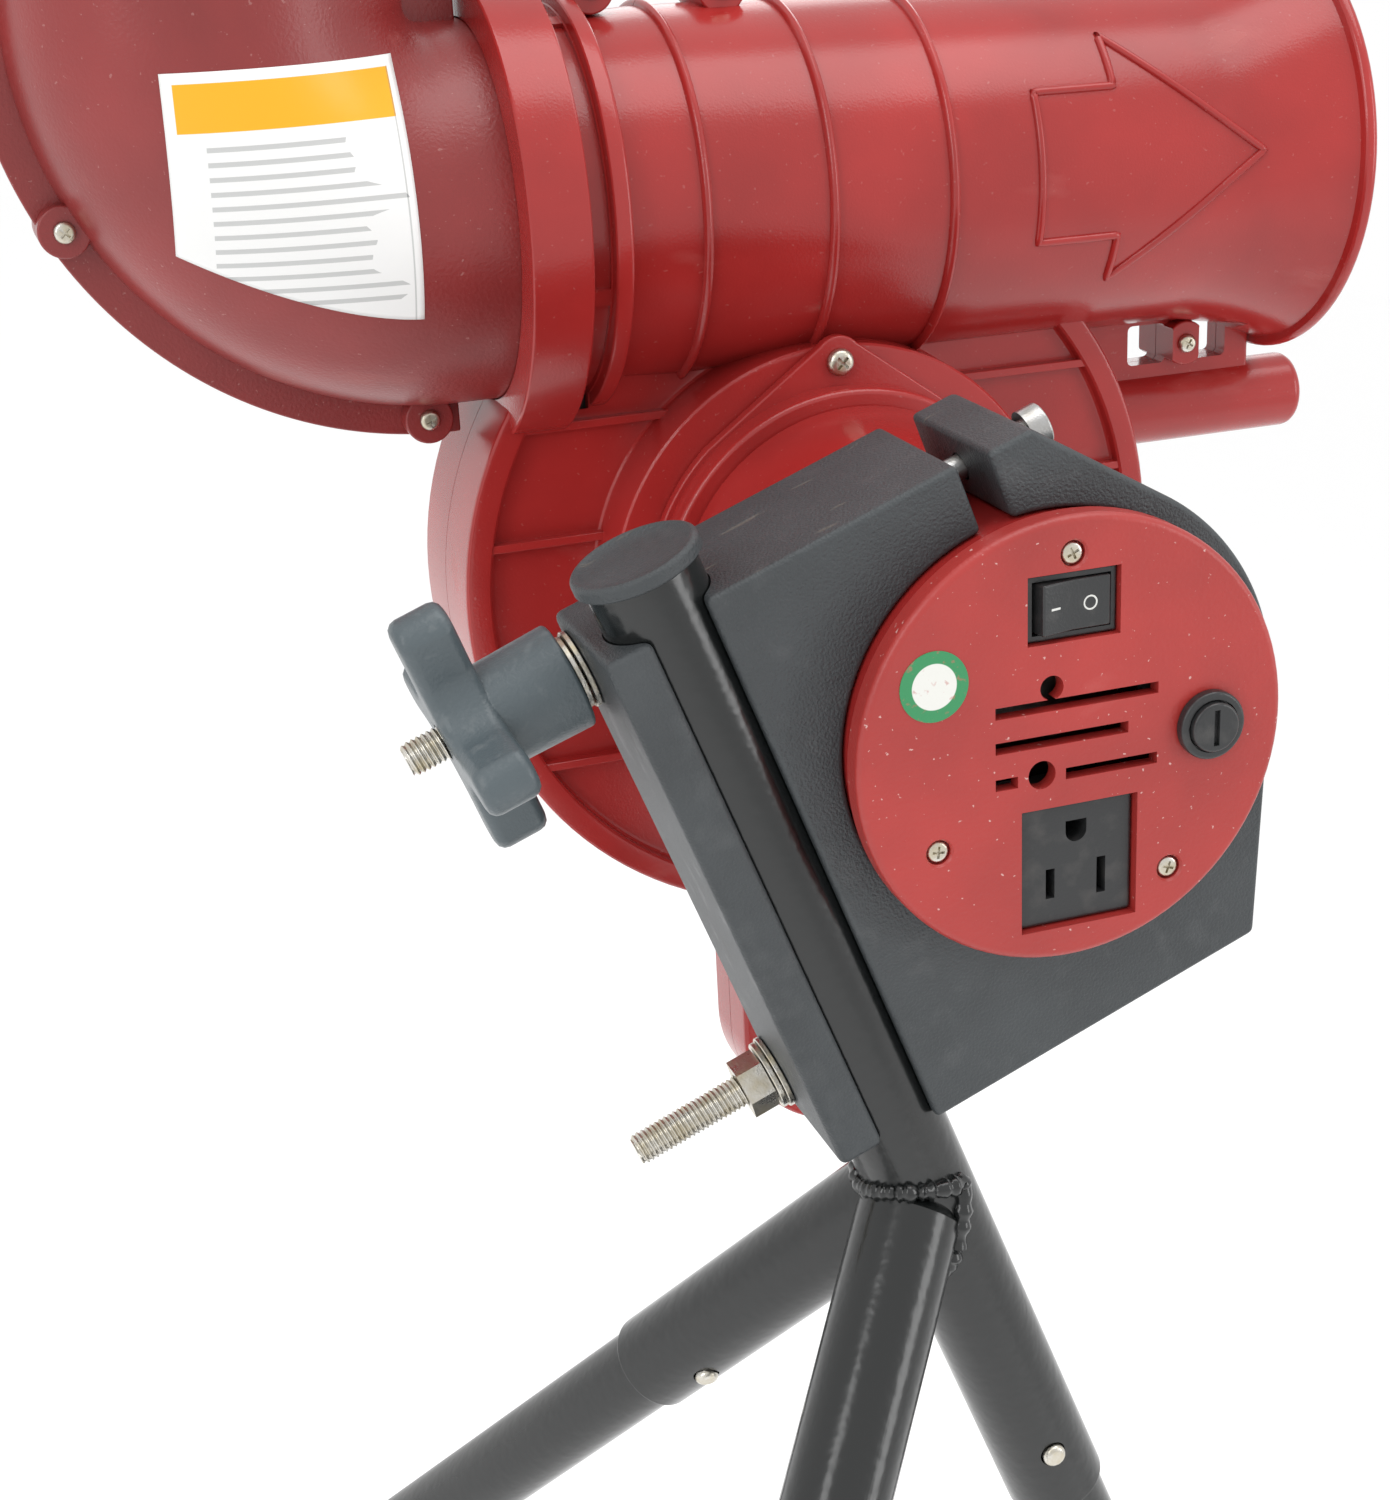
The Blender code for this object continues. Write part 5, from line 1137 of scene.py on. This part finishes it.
def inner_flange_outline():
    """Inside the bend: up the front of the riser and along the top of the run."""
    side, crown = RISER_X + ELBOW_TUBE_R, BARREL_Z + ELBOW_TUBE_R
    back, start = ELBOW_TOP - MOUTH_BAND, COLLAR_REAR - 0.0012
    sunk, proud = 0.002, 0.006
    return [(side - sunk, crown - sunk), (start, crown - sunk), (start, crown + proud),
            (side + 2 * proud, crown + proud), (side + proud, crown + 2 * proud), (side + proud, back),
            (side - sunk, back)]


def elbow_screws():
    reach = ELBOW_R + ELBOW_TUBE_R + 0.003
    rim = ELBOW_TOP - 0.026
    places = [arc((ELBOW_TURN_X, ELBOW_Z), reach, angle, angle, 1)[0] for angle in (-94, -153)]
    return [*places, (ELBOW_TURN_X - reach, rim), (RISER_X + ELBOW_TUBE_R + 0.006, rim)]


def make_elbow():
    middle = HEAD @ shift(0, WHEEL_Y, 0)
    for tag in ("near", "far"):
        foot = ELBOW_TOP - MOUTH_BAND
        mouth = eased([(0, foot), (MOUTH_R, foot), (MOUTH_R, ELBOW_TOP), (0, ELBOW_TOP)], 0.0014)
        joined = [(slab(outline, -FLANGE_HALF, FLANGE_HALF), middle, BOSS_EDGE)
                  for outline in (flange_outline(), inner_flange_outline())]
        joined.append((turned(mouth), middle @ shift(RISER_X, 0, 0)))
        joined += [round_at(x, z, BOSS_R, WHEEL_Y - ELBOW_BOSS, WHEEL_Y + ELBOW_BOSS, BOSS_EDGE)
                   for x, z in elbow_screws()]
        taken = [(elbow_bar(ELBOW_BORE_R, SPIGOT_END + 0.02, ELBOW_TOP + 0.02), middle)]
        taken += [round_at(x, z, SCREW_R + FIT, WHEEL_Y - 0.011, WHEEL_Y + 0.007, steps=32)
                  for x, z in elbow_screws()]
        taken.append(beyond_seam(tag == "near", -0.5, 0.1))
        piece(f"{tag}_elbow_half", elbow_bar(ELBOW_TUBE_R, SPIGOT_END, ELBOW_TOP), middle, ELBOW_RED, "head",
              [f"{tag}_elbow"], joined, taken, sharp=28)
    screw_set("elbow_screw", [(x, z, ELBOW_BOSS, 0.0145) for x, z in elbow_screws()])


LABEL_LEFT, LABEL_RIGHT, LABEL_LOW, LABEL_HIGH = -0.164, -0.1085, 0.083, 0.144
LABEL_GAP = 0.00012


def elbow_skin(x, z):
    """How far the elbow's surface stands off the parting plane at a place seen from the side."""
    if x > ELBOW_TURN_X:
        off = z - BARREL_Z
    elif z > ELBOW_Z:
        off = x - RISER_X
    else:
        off = math.hypot(x - ELBOW_TURN_X, z - ELBOW_Z) - ELBOW_R
    return math.sqrt(max((ELBOW_TUBE_R + LABEL_GAP) ** 2 - off ** 2, 0))


def label_print():
    """White vinyl with an orange band and plain grey rules in place of words."""
    finish = Finish("label_print", (0.8, 0.8, 0.79), 0.32, slot="red_plastic")
    across, height = (finish.node("SeparateXYZ", None, axis, _0=finish.place) for axis in (0, 2))
    band = (height > LABEL_HIGH - 0.0135) * (height < LABEL_HIGH - 0.0025)
    inset = (across > LABEL_LEFT + 0.0025) * (across < LABEL_RIGHT - 0.0018)
    row = finish.math("FRACT", (height - LABEL_LOW) * (1 / 0.0034), 0)
    ragged = finish.noise(150, 0, (0.02, 0.02, 1)) * 0.034 + (LABEL_RIGHT - 0.026)
    rules = (row > 0.66) * (height < LABEL_HIGH - 0.0165) * (height > LABEL_LOW + 0.004)
    rules = rules * (across > LABEL_LEFT + 0.0085) * (across < ragged)
    edge = (across > LABEL_RIGHT - 0.0022) * (across < LABEL_RIGHT - 0.0018) * (height < LABEL_HIGH - 0.0025)
    base = finish.mixed(band * inset, (0.8, 0.8, 0.79), (0.86, 0.4, 0.006))
    finish.set(Base_Color=finish.mixed(rules * 0.42 + edge * 0.4, base, (0.12, 0.13, 0.13)))
    finish.grain(finish.noise(300, 2), 0.00005)
    return finish


def make_label(columns=48, rows=52):
    mesh = bmesh.new()
    grid = []
    for i in range(columns + 1):
        across = i / columns
        line = []
        for k in range(rows + 1):
            up = k / rows
            x = LABEL_LEFT + (LABEL_RIGHT - LABEL_LEFT) * across
            low = LABEL_LOW + 0.019 * (1 - across) ** 1.6
            z = low + (LABEL_HIGH - low) * up
            line.append(mesh.verts.new((x, WHEEL_Y - elbow_skin(x, z), z)))
        grid.append(line)
    for i in range(columns):
        for k in range(rows):
            mesh.faces.new((grid[i][k], grid[i + 1][k], grid[i + 1][k + 1], grid[i][k + 1]))
    skin = piece("banded_label", mesh, HEAD, label_print(), "head")
    thick = skin.modifiers.new("thickness", "SOLIDIFY")
    thick.thickness, thick.offset = 0.00024, 0


make_elbow()
make_label()

# ---------------- floor
# A pale, even sweep that takes only the machine's shadow.
floor_mesh = bmesh.new()
bmesh.ops.create_grid(floor_mesh, x_segments=1, y_segments=1, size=30)
floor = laid("floor", floor_mesh, shift(0, 0, -0.0005))
PALE = Finish("pale_floor", (0.94, 0.94, 0.94), 0.9)
PALE.set(Base_Color=PALE.mixed(PALE.noise(3), (0.935, 0.935, 0.935), (0.945, 0.945, 0.945)))
PALE.set(Emission_Color=(1, 1, 1, 1), Emission_Strength=0.08)
floor.data.materials.append(PALE.material)
